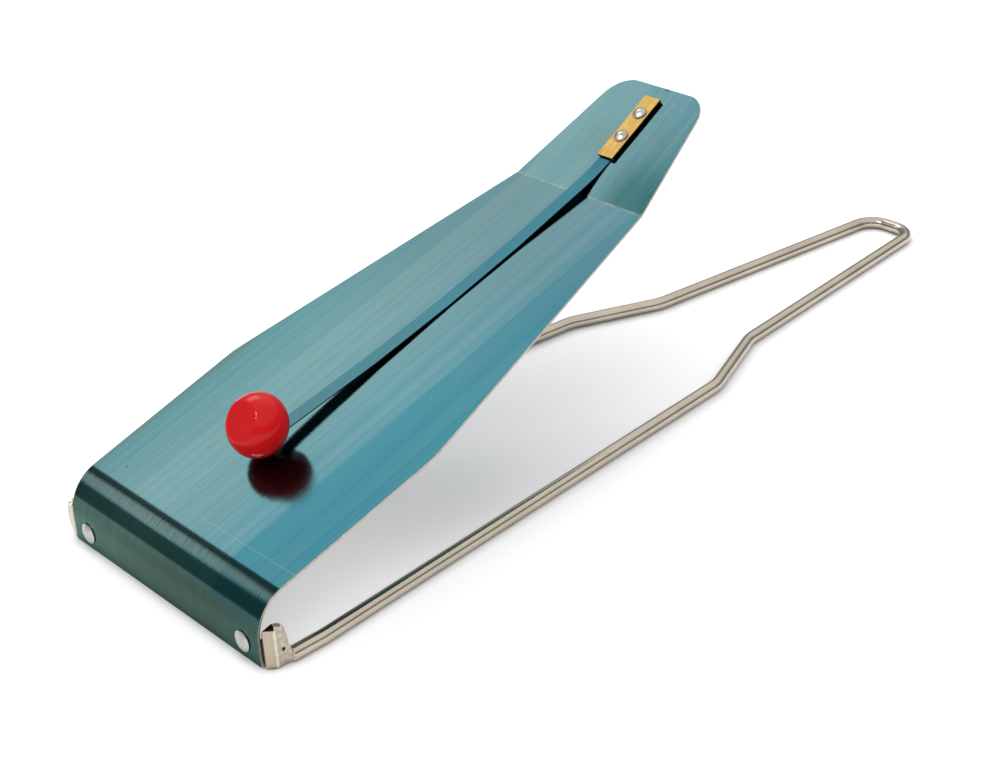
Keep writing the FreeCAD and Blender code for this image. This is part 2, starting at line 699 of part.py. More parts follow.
def make_bead(label, along, off, turn):
    """A turned ball with flat ends and a slot for the spring's tang."""
    body = new_body(label)
    profile = new_sketch(body, "profile", "XY_Plane")
    half_face = "dims.bead_face_diameter / 2"
    rear, rear_rim, widest, front_rim, front = (
        sketch_point("0", "0"),
        sketch_point(half_face, "0"),
        sketch_point("dims.bead_diameter / 2", "-dims.bead_length / 2"),
        sketch_point(half_face, "-dims.bead_length"),
        sketch_point("0", "-dims.bead_length"),
    )
    rear_face = profile.addGeometry(Part.LineSegment(rear, rear_rim))
    side = profile.addGeometry(Part.Arc(rear_rim, widest, front_rim))
    front_face = profile.addGeometry(Part.LineSegment(front_rim, front))
    axis = profile.addGeometry(Part.LineSegment(front, rear))
    side_rear = nearest_end(profile, side, rear_rim)
    side_front = nearest_end(profile, side, front_rim)
    profile.addConstraint(Sketcher.Constraint("Coincident", rear_face, Spot.END, side, side_rear))
    profile.addConstraint(Sketcher.Constraint("Coincident", side, side_front, front_face, Spot.START))
    profile.addConstraint(Sketcher.Constraint("Coincident", front_face, Spot.END, axis, Spot.START))
    profile.addConstraint(Sketcher.Constraint("Coincident", axis, Spot.END, rear_face, Spot.START))
    hold_point(profile, rear_face, Spot.START, "0", "0")
    hold_point(profile, rear_face, Spot.END, half_face, "0")
    hold_point(profile, front_face, Spot.START, half_face, "-dims.bead_length")
    hold_point(profile, axis, Spot.START, "0", "-dims.bead_length")
    side_radius = "places.bead_side_radius"
    bind(profile, Sketcher.Constraint("Radius", side, value(side_radius)), side_radius)
    add_revolution(body, "turned", profile)

    def rim(edge):
        return near(edge.Length, "pi * dims.bead_face_diameter")

    round_edges(body, "rims", rim, "dims.bead_rim_radius")
    slot = new_sketch(body, "slot", "XZ_Plane")
    rectangle(
        slot,
        "-(dims.strip_width + dims.slot_clearance) / 2",
        "-(dims.strip_thickness + dims.slot_clearance) / 2",
        "(dims.strip_width + dims.slot_clearance) / 2",
        "(dims.strip_thickness + dims.slot_clearance) / 2",
    )
    cut(body, "tang_slot", slot, "dims.tang_length", turned_over=True)
    stand_off_crease(body, along, off, f"places.tab_angle - {turn}")
    return body


bodies = [
    make_wire_frame(),
    make_tongue_plate(),
    make_flange_rivet("flange_rivet_right", ""),
    make_flange_rivet("flange_rivet_left", "-"),
    make_clamp_plate("upper_clamp_plate", "dims.strip_thickness"),
    make_clamp_plate("lower_clamp_plate", "-dims.sheet_thickness - places.clamp_top"),
    make_clamp_rivet("clamp_rivet_near", "dims.near_rivet_distance"),
    make_clamp_rivet("clamp_rivet_far", "dims.far_rivet_distance"),
    make_upper_strip(),
    make_lower_strip(),
    make_bead("upper_bead", "places.upper_bead_y", "places.upper_bead_z", "places.upper_turn"),
    make_bead("lower_bead", "places.lower_bead_y", "places.lower_bead_z", "places.lower_turn"),
]
doc.recompute()

for item in doc.Objects:
    if "Invalid" in item.State or "Error" in item.State:
        raise RuntimeError(f"{item.Name} did not build: {item.State}")
for body in bodies:
    if body.Shape.isNull() or not body.Shape.isValid() or len(body.Shape.Solids) != 1:
        raise RuntimeError(f"{body.Label} is not one sound solid")

os.makedirs("parts", exist_ok=True)
for body in bodies:
    body.Shape.exportStep(f"parts/{body.Label}.step")
    box = body.Shape.BoundBox
    extent = f"{box.XLength:.2f} x {box.YLength:.2f} x {box.ZLength:.2f} mm"
    print(f"{body.Label}: {extent}, {body.Shape.Volume:.1f} mm3")
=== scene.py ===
# %% [markdown]
# This lesson dresses a flexatone, a small hand percussion instrument.
# A sprung steel tongue is riveted across the open end of a bent wire frame, and two red beads on
# thin leaf springs strike it when the frame is shaken and a thumb bends the tongue.
# The solids with the exact sizes come from a construction program, and they are loaded first as a
# fixed frame. Every piece below is modelled in metres in that same frame and stands for one solid.

# %% Load the fixed frame
import math

import bmesh
import bpy
from mathutils import Matrix, Vector


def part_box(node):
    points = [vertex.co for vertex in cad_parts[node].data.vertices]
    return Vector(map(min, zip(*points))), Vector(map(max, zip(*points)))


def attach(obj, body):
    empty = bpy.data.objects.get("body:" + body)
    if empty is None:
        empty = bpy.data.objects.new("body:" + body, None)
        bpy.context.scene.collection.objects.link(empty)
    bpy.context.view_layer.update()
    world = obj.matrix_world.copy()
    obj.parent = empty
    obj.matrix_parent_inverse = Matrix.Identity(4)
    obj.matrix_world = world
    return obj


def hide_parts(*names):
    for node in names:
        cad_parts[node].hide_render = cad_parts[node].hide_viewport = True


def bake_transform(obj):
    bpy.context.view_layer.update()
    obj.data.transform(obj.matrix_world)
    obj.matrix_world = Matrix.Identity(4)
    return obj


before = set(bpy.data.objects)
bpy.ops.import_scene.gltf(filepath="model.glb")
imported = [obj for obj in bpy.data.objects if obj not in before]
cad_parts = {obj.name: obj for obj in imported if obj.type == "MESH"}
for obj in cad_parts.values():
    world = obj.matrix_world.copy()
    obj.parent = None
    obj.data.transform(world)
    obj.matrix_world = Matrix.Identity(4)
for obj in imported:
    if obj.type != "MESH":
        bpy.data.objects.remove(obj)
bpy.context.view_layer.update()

MM = 0.001
print("solids:", sorted(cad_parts))

# %% [markdown]
# Operators act on whatever is selected, and the loaded solids are still selected, so each piece
# begins by clearing the selection. Three small helpers do what a hand would do with the mouse:
# start a piece, pick some of its points by where they are, and finish the piece.
# A finished piece keeps its object at the origin and holds its place in its mesh.

# %% Helpers for starting, picking and finishing
def start_piece(name):
    """Name the primitive that was just added, settle its place into its mesh, and open it for editing."""
    piece = bpy.context.active_object
    piece.name = name
    piece.data.name = name
    bpy.ops.object.transform_apply(location=True, rotation=True, scale=True)
    bpy.ops.object.mode_set(mode="EDIT")
    bpy.ops.mesh.select_mode(type="VERT")
    return piece


def pick(piece, wanted):
    """Select, in edit mode, the points whose place passes the test."""
    bpy.ops.mesh.select_mode(type="VERT")
    shape = bmesh.from_edit_mesh(piece.data)
    for point in shape.verts:
        point.select = wanted(point.co)
    shape.select_flush_mode()
    bmesh.update_edit_mesh(piece.data)


def apply_modifier(piece, kind, **settings):
    """Add a modifier, set it, and apply it to the mesh."""
    modifier = piece.modifiers.new(kind.title(), kind)
    for setting, value in settings.items():
        setattr(modifier, setting, value)
    bpy.ops.object.modifier_apply(modifier=modifier.name)


def finish_piece(piece, smooth_angle=35):
    """Merge doubles, turn the faces outwards and shade the piece smooth up to an angle."""
    bpy.ops.object.mode_set(mode="EDIT")
    bpy.ops.mesh.select_all(action="SELECT")
    bpy.ops.mesh.remove_doubles(threshold=0.002 * MM)
    bpy.ops.mesh.normals_make_consistent(inside=False)
    bpy.ops.object.mode_set(mode="OBJECT")
    bpy.ops.object.shade_smooth_by_angle(angle=math.radians(smooth_angle))
    low = [min(v.co[i] for v in piece.data.vertices) / MM for i in range(3)]
    high = [max(v.co[i] for v in piece.data.vertices) / MM for i in range(3)]
    print(piece.name, len(piece.data.polygons), "faces,", [round(c, 2) for c in low], "to", [round(c, 2) for c in high])


bpy.ops.object.select_all(action="DESELECT")
print("selection cleared")

# %% [markdown]
# The sheet, the two leaf springs and the wire are all made in the same way on the real instrument:
# a straight strip or wire is bent round a former. A curve with a bevel could follow such a path,
# but extruding the open end for a straight run and spinning it for a bend gives true radii and a
# clean row of faces at every step, so that is the way chosen here.

# %% Carrying an open end along straight runs and round bends
def run_to(start, end, rows=1):
    """Extrude the selected open end along a straight line, in a number of rows."""
    for _ in range(rows):
        bpy.ops.mesh.extrude_region_move(TRANSFORM_OT_translate={"value": (end - start) / rows})


def follow(corners, radii, rows, degrees_per_step):
    """Carry the selected open end past the corners; each inner corner is rounded to its radius."""
    here = corners[0]
    for corner, onward, radius, count in zip(corners[1:], corners[2:], radii, rows):
        before = (corner - here).normalized()
        after = (onward - corner).normalized()
        turn = before.angle(after)
        reach = radius * math.tan(turn / 2)
        axis = before.cross(after).normalized()
        tangent = corner - before * reach
        run_to(here, tangent, count)
        steps = max(2, math.ceil(math.degrees(turn) / degrees_per_step))
        centre = tangent + axis.cross(before) * radius
        bpy.ops.mesh.spin(steps=steps, angle=-turn, center=centre, axis=axis)
        here = corner + after * reach
    run_to(here, corners[-1], rows[-1])


print("runs are extruded, bends are spun")

# %% [markdown]
# The tongue is one sheet of blued spring steel: a low flange at the front, a round bend, a long
# rising tongue, a crease and a thumb tab. It could be cut from a block, but a real one is a flat
# blank that is bent. So a grid is added as the flange, and its top edge is carried round the bend,
# up the tongue, over the crease and on to the tip, still as wide as the flange.

# %% The bent blank
SHEET = 0.6 * MM
FLANGE_HALF = 39.75 * MM
BEND_RADIUS = 11.6 * MM
TONGUE_SLOPE = math.radians(17)
TAB_SLOPE = math.radians(30.2)
flange_top = Vector((0, 0, 16.1 * MM))
crease = flange_top + Vector((0, math.cos(TONGUE_SLOPE), math.sin(TONGUE_SLOPE))) * 150.4 * MM
tab_way = Vector((0, math.cos(TAB_SLOPE), math.sin(TAB_SLOPE)))
tab_up = Vector((0, -math.sin(TAB_SLOPE), math.cos(TAB_SLOPE)))
tip = crease + tab_way * 40.1 * MM
TIP_ROUND = 8.0 * MM

bend_start = flange_top.z - BEND_RADIUS * math.tan((math.pi / 2 - TONGUE_SLOPE) / 2)
bpy.ops.mesh.primitive_grid_add(x_subdivisions=36, y_subdivisions=4, size=1,
                                location=(0, 0, bend_start / 2), rotation=(math.pi / 2, 0, 0))
bpy.ops.transform.resize(value=(2 * FLANGE_HALF, 1, bend_start))
tongue = start_piece("tongue_sheet")
pick(tongue, lambda p: p.z > bend_start - 0.01 * MM)
tip_start = tip - tab_way * (TIP_ROUND / math.cos(TAB_SLOPE))
follow([Vector((0, 0, bend_start)), flange_top, crease, tip_start], (BEND_RADIUS, 2.5 * MM), (0, 44, 10), 3.5)
for share in range(1, 9):
    reached = math.sin(share / 8 * math.pi / 2)
    last = math.sin((share - 1) / 8 * math.pi / 2)
    run_to(tip_start, tip_start + (tip - tip_start) * (reached - last))
print("blank of", len(tongue.data.polygons), "faces bent, crease at", [round(c / MM, 2) for c in crease])

# %% [markdown]
# The blank is then cut to its outline, which is widest at the shoulders and narrows to the tab.
# A knife or a boolean would leave ragged faces. Here every row of points across the sheet is drawn
# in to the width that the outline has there, so the rows stay whole and the brushed grain of the
# finish can run along them.

# %% Draw the rows in to the outline
SHOULDER = Vector((40.75 * MM, 57.0 * MM * math.cos(TONGUE_SLOPE)))
CREASE_EDGE = Vector((23.75 * MM, crease.y))
TIP_EDGE = Vector((16.2 * MM, tip.y))
SHOULDER_ROUND = 2.1 * MM


def between(y, near, far):
    return near.x + (far.x - near.x) * (y - near.y) / (far.y - near.y)


def half_width(y):
    """Half the sheet's width at a distance from the flange, with rounded shoulders and tip corners."""
    if y <= SHOULDER.y:
        half = between(y, Vector((FLANGE_HALF, SHEET)), SHOULDER)
    elif y <= crease.y:
        half = between(y, SHOULDER, CREASE_EDGE)
    else:
        half = between(y, CREASE_EDGE, TIP_EDGE)
    off_shoulder = max(0, 1 - abs(y - SHOULDER.y) / SHOULDER_ROUND)
    half -= 0.107 * MM * off_shoulder ** 2
    lean = math.atan((CREASE_EDGE.x - TIP_EDGE.x) / (TIP_EDGE.y - CREASE_EDGE.y))
    middle_x = TIP_EDGE.x - TIP_ROUND * (1 - math.sin(lean)) / math.cos(lean)
    past = y - (tip.y - TIP_ROUND)
    if past > TIP_ROUND * math.sin(lean):
        half = middle_x + math.sqrt(max(0, TIP_ROUND ** 2 - past ** 2))
    return max(half, 0.1 * MM)


shape = bmesh.from_edit_mesh(tongue.data)
row_places = sorted({round(v.co.y, 7) for v in shape.verts if v.co.y > 0.01 * MM})
for row in row_places:
    pick(tongue, lambda p: abs(p.y - row) < 0.002 * MM)
    bpy.ops.transform.resize(value=(half_width(row) / FLANGE_HALF, 1, 1), center_override=(0, 0, 0))
bpy.ops.object.mode_set(mode="OBJECT")
print(len(row_places), "rows drawn in to the outline")

# %% [markdown]
# Last the sheet gets its thickness. Solidify thickens it inwards from the outer face, and gives the
# cut edge a finish of its own, because shearing the blank bares the steel. A tiny bevel rounds the
# edge as tumbling does, so that it catches the light.

# %% Thickness and cut edge
FINISHES = {name: bpy.data.materials.new(name) for name in (
    "blued_sheet", "sheared_edge", "blued_spring", "nickel_wire", "rivet_steel", "worn_brass", "red_lacquer")}
tongue.data.materials.append(FINISHES["blued_sheet"])
tongue.data.materials.append(FINISHES["sheared_edge"])
finish_piece(tongue)
outward = tongue.data.polygons[0].normal.y < 0
apply_modifier(tongue, "SOLIDIFY", thickness=SHEET, offset=-1 if outward else 1,
               use_even_offset=True, material_offset_rim=1)
apply_modifier(tongue, "BEVEL", width=0.09 * MM, segments=2, limit_method="ANGLE",
               angle_limit=math.radians(60), material=1)
finish_piece(tongue, 20)

# %% [markdown]
# Each beater hangs on a leaf spring, a thin narrow strip that leaves the clamp on the tab, lifts off
# the tongue in a slow curve and turns up into its bead. A strip is a plane under the clamp whose
# near edge is carried along the curve. Points on the tab are given by how far they lie up the tab
# from the crease and how far off its upper face.

# %% The upper leaf spring
STRIP = 0.35 * MM
STRIP_WIDTH = 4.2 * MM
CLAMP_NEAR = 12.9
STRIP_END = 34.5


def on_tab(along, off):
    """A point above the tab's middle line, from distances in millimetres."""
    return crease + tab_way * along * MM + tab_up * off * MM


def add_strip(name, off, corners, radii, rows):
    """A strip from under the clamp to the tang in its bead."""
    bpy.ops.object.select_all(action="DESELECT")
    bpy.ops.mesh.primitive_grid_add(x_subdivisions=4, y_subdivisions=6, size=1,
                                    location=on_tab((STRIP_END + CLAMP_NEAR) / 2, off), rotation=(TAB_SLOPE, 0, 0))
    bpy.ops.transform.resize(value=(STRIP_WIDTH, (STRIP_END - CLAMP_NEAR) * MM, 1), orient_type="LOCAL")
    strip = start_piece(name)
    near_edge = on_tab(CLAMP_NEAR, off).y
    pick(strip, lambda p: p.y < near_edge + 0.01 * MM)
    follow([on_tab(CLAMP_NEAR, off)] + [on_tab(*corner) for corner in corners], radii, rows, 2.5)
    bpy.ops.object.mode_set(mode="OBJECT")
    strip.data.materials.append(FINISHES["blued_spring"])
    return strip


def thicken_strip(strip, away):
    """Give the strip its thickness on the side away from the tab, and round its edges."""
    finish_piece(strip)
    facing = 1 if strip.data.polygons[0].normal.dot(away) > 0 else -1
    apply_modifier(strip, "SOLIDIFY", thickness=STRIP, offset=facing, use_even_offset=True)
    apply_modifier(strip, "BEVEL", width=0.07 * MM, segments=2, limit_method="ANGLE", angle_limit=math.radians(60))
    finish_piece(strip, 20)


def turned(start, length, degrees):
    """The point a length further on, heading down the tab and lifted by an angle."""
    lift = math.radians(degrees)
    return (start[0] - length * math.cos(lift), start[1] + length * math.sin(lift))


TANG = 6.5
TIP_BEND = 3.0
upper_lift = 9.7
upper_slope = upper_lift + 8.3
upper_turn = upper_slope + 45.0
upper_bend = (8.4, 0)
upper_sweep = turned(upper_bend, 60.0, upper_lift)
upper_tip = turned(upper_sweep, 57.8, upper_slope)
upper_face = turned(upper_tip, TIP_BEND * math.tan(math.radians(22.5)), upper_turn)
upper_tang = turned(upper_face, TANG, upper_turn)
upper_strip = add_strip("upper_leaf_spring", 0, (upper_bend, upper_sweep, upper_tip, upper_tang),
                        (50 * MM, 720 * MM, TIP_BEND * MM), (2, 14, 4, 4))
thicken_strip(upper_strip, tab_up)

# %% [markdown]
# The lower spring is hidden under the tongue in the picture. It is the upper one's counterpart: it
# follows the underside of the tab, passes the crease, and lifts towards the tongue before it turns
# down into the lower bead.

# %% The lower leaf spring
lower_lift = 11.5
lower_turn = lower_lift - 48.0
lower_off = -SHEET / MM
lower_bend = (-6.0, lower_off)
lower_tip = turned(lower_bend, 101.0, lower_lift)
lower_face = turned(lower_tip, TIP_BEND * math.tan(math.radians(24)), lower_turn)
lower_tang = turned(lower_face, TANG, lower_turn)
lower_strip = add_strip("lower_leaf_spring", lower_off, (lower_bend, lower_tip, lower_tang),
                        (30 * MM, TIP_BEND * MM), (6, 24, 4))
thicken_strip(lower_strip, -tab_up)

# %% [markdown]
# The beads are turned wooden balls with a flat cut at the front and at the back, where the spring's tang
# goes in. A rounded cylinder would look too square, so a sphere is drawn out a little along the tang's
# line, two bisecting planes slice its ends off, and the sharp rims are bevelled as sanding would do.

# %% The red beads
BEAD_RADIUS = 8.3 * MM
BEAD_LENGTH = 11.2 * MM
BEAD_FACE = 5.4 * MM
BEAD_RIM = 0.45 * MM


def add_bead(name, face, turn_degrees, side):
    """A bead on the middle of the tang; side says on which side of the strip's path the metal lies."""
    heading = TAB_SLOPE - math.radians(turn_degrees)
    way = -Vector((0, math.cos(heading), math.sin(heading)))
    rear = on_tab(*face) + side * STRIP / 2 * Vector((0, -math.sin(heading), math.cos(heading)))
    front = rear + way * BEAD_LENGTH
    draw_out = BEAD_LENGTH / 2 / math.sqrt(BEAD_RADIUS ** 2 - BEAD_FACE ** 2)
    bpy.ops.object.select_all(action="DESELECT")
    bpy.ops.mesh.primitive_uv_sphere_add(segments=80, ring_count=64, radius=BEAD_RADIUS,
                                         location=(rear + front) / 2, rotation=(math.pi / 2 + heading, 0, 0))
    bpy.ops.transform.resize(value=(1, 1, draw_out), orient_type="LOCAL")
    bead = start_piece(name)
    for end, outward in ((rear, -way), (front, way)):
        bpy.ops.mesh.select_all(action="SELECT")
        bpy.ops.mesh.bisect(plane_co=end, plane_no=outward, use_fill=True, clear_outer=True)
    for end in (rear, front):
        pick(bead, lambda p: abs((p - end).dot(way)) < 0.001 * MM)
        bpy.ops.mesh.bevel(offset=BEAD_RIM, segments=4, profile=0.5)
    bpy.ops.mesh.select_mode(type="FACE")
    shape = bmesh.from_edit_mesh(bead.data)
    for patch in shape.faces:
        patch.select = patch.normal.dot(way) > 0.9999
    shape.select_flush_mode()
    for rim, sink in ((0.9, 0.01), (1.5, 0.03), (1.2, 0.02)):
        bpy.ops.mesh.inset(thickness=rim * MM, depth=0)
        bpy.ops.transform.translate(value=-way * sink * MM)
    bpy.ops.object.mode_set(mode="OBJECT")
    bead.data.materials.append(FINISHES["red_lacquer"])
    finish_piece(bead, 40)
    return bead


upper_bead = add_bead("upper_bead_red", upper_face, upper_turn, 1)
lower_bead = add_bead("lower_bead_red", lower_face, lower_turn, -1)

# %% [markdown]
# Two kinds of rivet hold the instrument together. A rivet is round about its axis, so one ring of
# points is enough: it is drawn up over the domed head, and then down along the shank and round the
# upset tail. Each kind is modelled once and copied, and each copy gets a mesh of its own.

# %% Rivets
RIM = 0.3 * MM


def step_ring(ring, radius, rise):
    """Extrude the ring, move it along the axis and draw it to a new radius."""
    bpy.ops.mesh.extrude_region_move(TRANSFORM_OT_translate={"value": (0, 0, rise)})
    bpy.ops.transform.resize(value=(radius / ring, radius / ring, 1), center_override=(0, 0, 0))
    return radius


def close_dome(radius, height, way):
    """A rim and a round cap on the selected ring, up for way 1 and down for way -1."""
    ring = step_ring(radius * 0.94, radius, 0.25 * RIM * way)
    ring = step_ring(ring, radius, 0.75 * RIM * way)
    rise = height - RIM
    ball = (radius ** 2 + rise ** 2) / (2 * rise)
    lean = math.asin(radius / ball)
    level = 0
    for share in (0.86, 0.68, 0.5, 0.32, 0.15):
        top = ball * (math.cos(lean * share) - math.cos(lean))
        ring = step_ring(ring, ball * math.sin(lean * share), (top - level) * way)
        level = top
    bpy.ops.mesh.edge_face_add()
    bpy.ops.mesh.poke(offset=(rise - level) * way if way > 0 else rise - level)


def add_rivet(name, shank, grip, head, head_height, tail, tail_height):
    """A rivet on the Z axis, with the seat of its head at the origin; sizes are diameters and heights."""
    bpy.ops.object.select_all(action="DESELECT")
    bpy.ops.mesh.primitive_circle_add(vertices=40, radius=head / 2 * 0.94, fill_type="NOTHING")
    rivet = start_piece(name)
    close_dome(head / 2, head_height, 1)
    pick(rivet, lambda p: abs(p.z) < 0.001 * MM)
    ring = step_ring(head / 2 * 0.94, shank / 2, 0)
    ring = step_ring(ring, shank / 2, -grip)
    step_ring(ring, tail / 2 * 0.94, 0)
    close_dome(tail / 2, tail_height, -1)
    bpy.ops.object.mode_set(mode="OBJECT")
    rivet.data.materials.append(FINISHES["rivet_steel"])
    finish_piece(rivet, 50)
    return rivet


def copy_rivet(pattern, name, seat, slope):
    """A copy of the pattern rivet, turned about X and set down with its head on the seat."""
    bpy.ops.object.select_all(action="DESELECT")
    bpy.context.view_layer.objects.active = pattern
    pattern.select_set(True)
    bpy.ops.object.duplicate(linked=False)
    rivet = bpy.context.active_object
    rivet.name = name
    rivet.data.name = name
    rivet.rotation_euler = (slope, 0, 0)
    rivet.location = seat
    bpy.ops.object.transform_apply(location=True, rotation=True, scale=True)
    return rivet


LUG = 1.3 * MM
CLAMP = 0.8 * MM
flange_pattern = add_rivet("flange_rivet_pattern", 3.0 * MM, SHEET + LUG, 5.5 * MM, 1.1 * MM, 4.4 * MM, 0.9 * MM)
tab_pattern = add_rivet("tab_rivet_pattern", 2.0 * MM, SHEET + 2 * (STRIP + CLAMP), 4.0 * MM, 1.1 * MM,
                        3.4 * MM, 0.8 * MM)
clamp_top = (STRIP + CLAMP) / MM
rivets = {
    "flange_rivet_right": copy_rivet(flange_pattern, "right_flange_rivet", (33.1 * MM, 0, 4.5 * MM), math.pi / 2),
    "flange_rivet_left": copy_rivet(flange_pattern, "left_flange_rivet", (-33.1 * MM, 0, 4.5 * MM), math.pi / 2),
    "clamp_rivet_near": copy_rivet(tab_pattern, "near_tab_rivet", on_tab(20.6, clamp_top), TAB_SLOPE),
    "clamp_rivet_far": copy_rivet(tab_pattern, "far_tab_rivet", on_tab(29.3, clamp_top), TAB_SLOPE),
}
for pattern in (flange_pattern, tab_pattern):
    bpy.data.objects.remove(pattern)
print(len(rivets), "rivets set")

# %% [markdown]
# Two small brass plates, one above and one below the tab, spread the rivets' hold over the springs.
# They are snipped from strip, so a cube is drawn to size and its upright corners are rounded a little
# more than its long edges. The plate below the tab is made in the same way.

# %% Brass clamp plates
CLAMP_LENGTH = 22.6
CLAMP_WIDTH = 5.7 * MM


def add_clamp_plate(name, off):
    """A brass plate lying along the tab, with its middle off the tab's upper face by a distance."""
    bpy.ops.object.select_all(action="DESELECT")
    bpy.ops.mesh.primitive_cube_add(size=1, location=on_tab(CLAMP_NEAR + CLAMP_LENGTH / 2, off),
                                    rotation=(TAB_SLOPE, 0, 0))
    bpy.ops.transform.resize(value=(CLAMP_WIDTH, CLAMP_LENGTH * MM, CLAMP), orient_type="LOCAL")
    plate = start_piece(name)
    bpy.ops.mesh.select_mode(type="EDGE")
    shape = bmesh.from_edit_mesh(plate.data)
    for edge in shape.edges:
        along = (edge.verts[1].co - edge.verts[0].co).normalized()
        edge.select = abs(along.dot(tab_up)) > 0.9
    shape.select_flush_mode()
    bpy.ops.mesh.bevel(offset=0.3 * MM, segments=4, profile=0.5)
    bpy.ops.object.mode_set(mode="OBJECT")
    plate.data.materials.append(FINISHES["worn_brass"])
    apply_modifier(plate, "BEVEL", width=0.1 * MM, segments=2, limit_method="ANGLE", angle_limit=math.radians(60))
    finish_piece(plate, 20)
    return plate


upper_plate = add_clamp_plate("upper_brass_plate", (STRIP + CLAMP / 2) / MM)
lower_plate = add_clamp_plate("lower_brass_plate", -(SHEET + STRIP + CLAMP / 2) / MM)

# %% [markdown]
# The frame is one length of round nickelled wire: a narrow loop for the hand, a kink on each side,
# and two legs that run out to the flange. A curve could give the wire, but its ends are hammered
# flat, folded round behind the flange and riveted, and that is easier with a ring of points. So a
# circle starts at the loop's middle and half of the wire is carried out to one leg's end.

# %% Half of the wire
WIRE_RADIUS = 1.85 * MM
LUG_X = 42.3
LOOP_Y = 288.8 - 1.85


def on_floor(x, y):
    """A point on the wire's middle line, from distances in millimetres."""
    return Vector((x * MM, y * MM, WIRE_RADIUS))


bpy.ops.object.select_all(action="DESELECT")
bpy.ops.mesh.primitive_circle_add(vertices=24, radius=WIRE_RADIUS, fill_type="NOTHING",
                                  location=on_floor(0, LOOP_Y), rotation=(0, math.pi / 2, 0))
wire = start_piece("bent_wire_frame")
bpy.ops.mesh.select_all(action="SELECT")
SWAGE_Y = 6.8
follow(
    [on_floor(0, LOOP_Y), on_floor(8.5, LOOP_Y), on_floor(17.9, 194.8), on_floor(29.4, 167.4),
     on_floor(LUG_X, 16.0), on_floor(LUG_X, SWAGE_Y)],
    (7 * MM, 15 * MM, 15 * MM, 20 * MM), (1, 8, 1, 16, 1), 4)
print("wire carried to its end at", LUG_X, SWAGE_Y)

# %% [markdown]
# Now the end is forged. Step by step the ring is pushed on, made taller and squeezed thinner, and
# what still stands proud of the two flat dies is pressed back to them. The blade rises to a rounded
# crown, as a hammered wire end does, and always stands on the floor.

# %% Hammer the end flat
forge = ((6.65, 0.97, 3.8), (6.5, 0.90, 4.1), (6.35, 0.83, 4.6), (6.2, 0.77, 5.2), (6.05, 0.72, 5.8), (5.9, 0.70, 6.4),
         (5.8, 0.70, 7.7), (5.65, 0.70, 9.2), (5.3, 0.70, 10.5), (4.8, 0.70, 11.3), (4.1, 0.70, 11.95),
         (3.2, 0.70, 12.4), (2.45, 0.70, 12.55))
place, squeeze, height = SWAGE_Y, 1.0, 3.7
for next_place, next_squeeze, next_height in forge:
    bpy.ops.mesh.extrude_region_move(TRANSFORM_OT_translate={"value": (0, (next_place - place) * MM, 0)})
    bpy.ops.transform.resize(value=(next_squeeze / squeeze, 1, next_height / height),
                             center_override=(LUG_X * MM, 0, 0))
    place, squeeze, height = next_place, next_squeeze, next_height

dies = ((6.5, 1.55), (6.35, 1.2), (6.2, 0.95), (6.05, 0.78), (5.9, 0.67), (5.8, 0.65), (5.65, 0.65), (5.3, 0.65),
        (4.8, 0.65), (4.1, 0.65), (3.2, 0.65), (2.45, 0.65))
for side in (-1, 1):
    for level, half in dies:
        die = (LUG_X + side * half) * MM
        pick(wire, lambda p: abs(p.y - level * MM) < 0.01 * MM and (p.x - die) * side > 0)
        bpy.ops.transform.resize(value=(0, 1, 1), center_override=(die, 0, 0))
print("blade", round(height, 1), "mm tall and 1.3 mm thick")

# %% [markdown]
# The blade is folded through a right angle so that its leaf lies flat behind the flange. The fold was
# struck flat, so one extruded step that turns about the fold's upright axis gives its sloping face. The
# leaf is then drawn out low enough to clear the sheet's bend, with its last corners rounded off, and the
# front of the fold is pushed forward, which leaves a groove beside the flange.

# %% Fold the blade behind the flange
FOLD = 1.2
FOLD_X, FOLD_Y = LUG_X - FOLD, 2.45
FOLDED = 11.0
pick(wire, lambda p: p.y < FOLD_Y * MM + 0.01 * MM)
bpy.ops.mesh.extrude_region_move(TRANSFORM_OT_translate={"value": (0, 0, 0)})
bpy.ops.transform.rotate(value=math.radians(90), orient_axis="Z", center_override=(FOLD_X * MM, FOLD_Y * MM, 0))
bpy.ops.transform.resize(value=(1, 1, FOLDED / height), center_override=(0, 0, 0))
height = FOLDED
shape = bmesh.from_edit_mesh(wire.data)
end = [v.co for v in shape.verts if v.select]
print("fold ends at", [round(sum(c[i] for c in end) / len(end) / MM, 2) for i in range(3)])

leaf = ((40.95, 0, 10.9), (40.6, 0, 9.8), (40.15, 0, 8.6), (40.0, 0, 7.6), (39.8, 0, 7.0), (34, 0, 7.0),
        (29.1, 0, 7.0), (28.3, 0.17, 6.83), (27.7, 0.57, 6.43), (27.3, 1.13, 5.87), (27.1, 2.0, 5.0))
place, low, high = FOLD_X, 0, height
for next_place, next_low, next_high in leaf:
    bpy.ops.mesh.extrude_region_move(TRANSFORM_OT_translate={"value": ((next_place - place) * MM, 0, 0)})
    scale = (next_high - next_low) / (high - low)
    fixed = 0 if scale == 1 else (next_low - low * scale) / (1 - scale)
    bpy.ops.transform.resize(value=(1, 1, scale), center_override=(0, 0, fixed * MM))
    place, low, high = next_place, next_low, next_high
bpy.ops.mesh.edge_face_add()
pick(wire, lambda p: p.x > 40.9 * MM and p.y < 1.9 * MM)
bpy.ops.transform.resize(value=(1, 1.3, 1), center_override=(0, 1.9 * MM, 0))
bpy.ops.object.mode_set(mode="OBJECT")
wire.data.materials.append(FINISHES["nickel_wire"])
apply_modifier(wire, "MIRROR", merge_threshold=0.005 * MM)
print("half a frame mirrored to a whole one,", len(wire.data.polygons), "faces")

# %% [markdown]
# No two hammered ends are alike. In the picture the left one has a lower crown, and its fold shows as a
# slim crescent outside the flange. So the mirrored crown is pressed down, its ridge is moved forward,
# and each level of the fold is drawn in towards the flange by how near it is to the top or the foot.

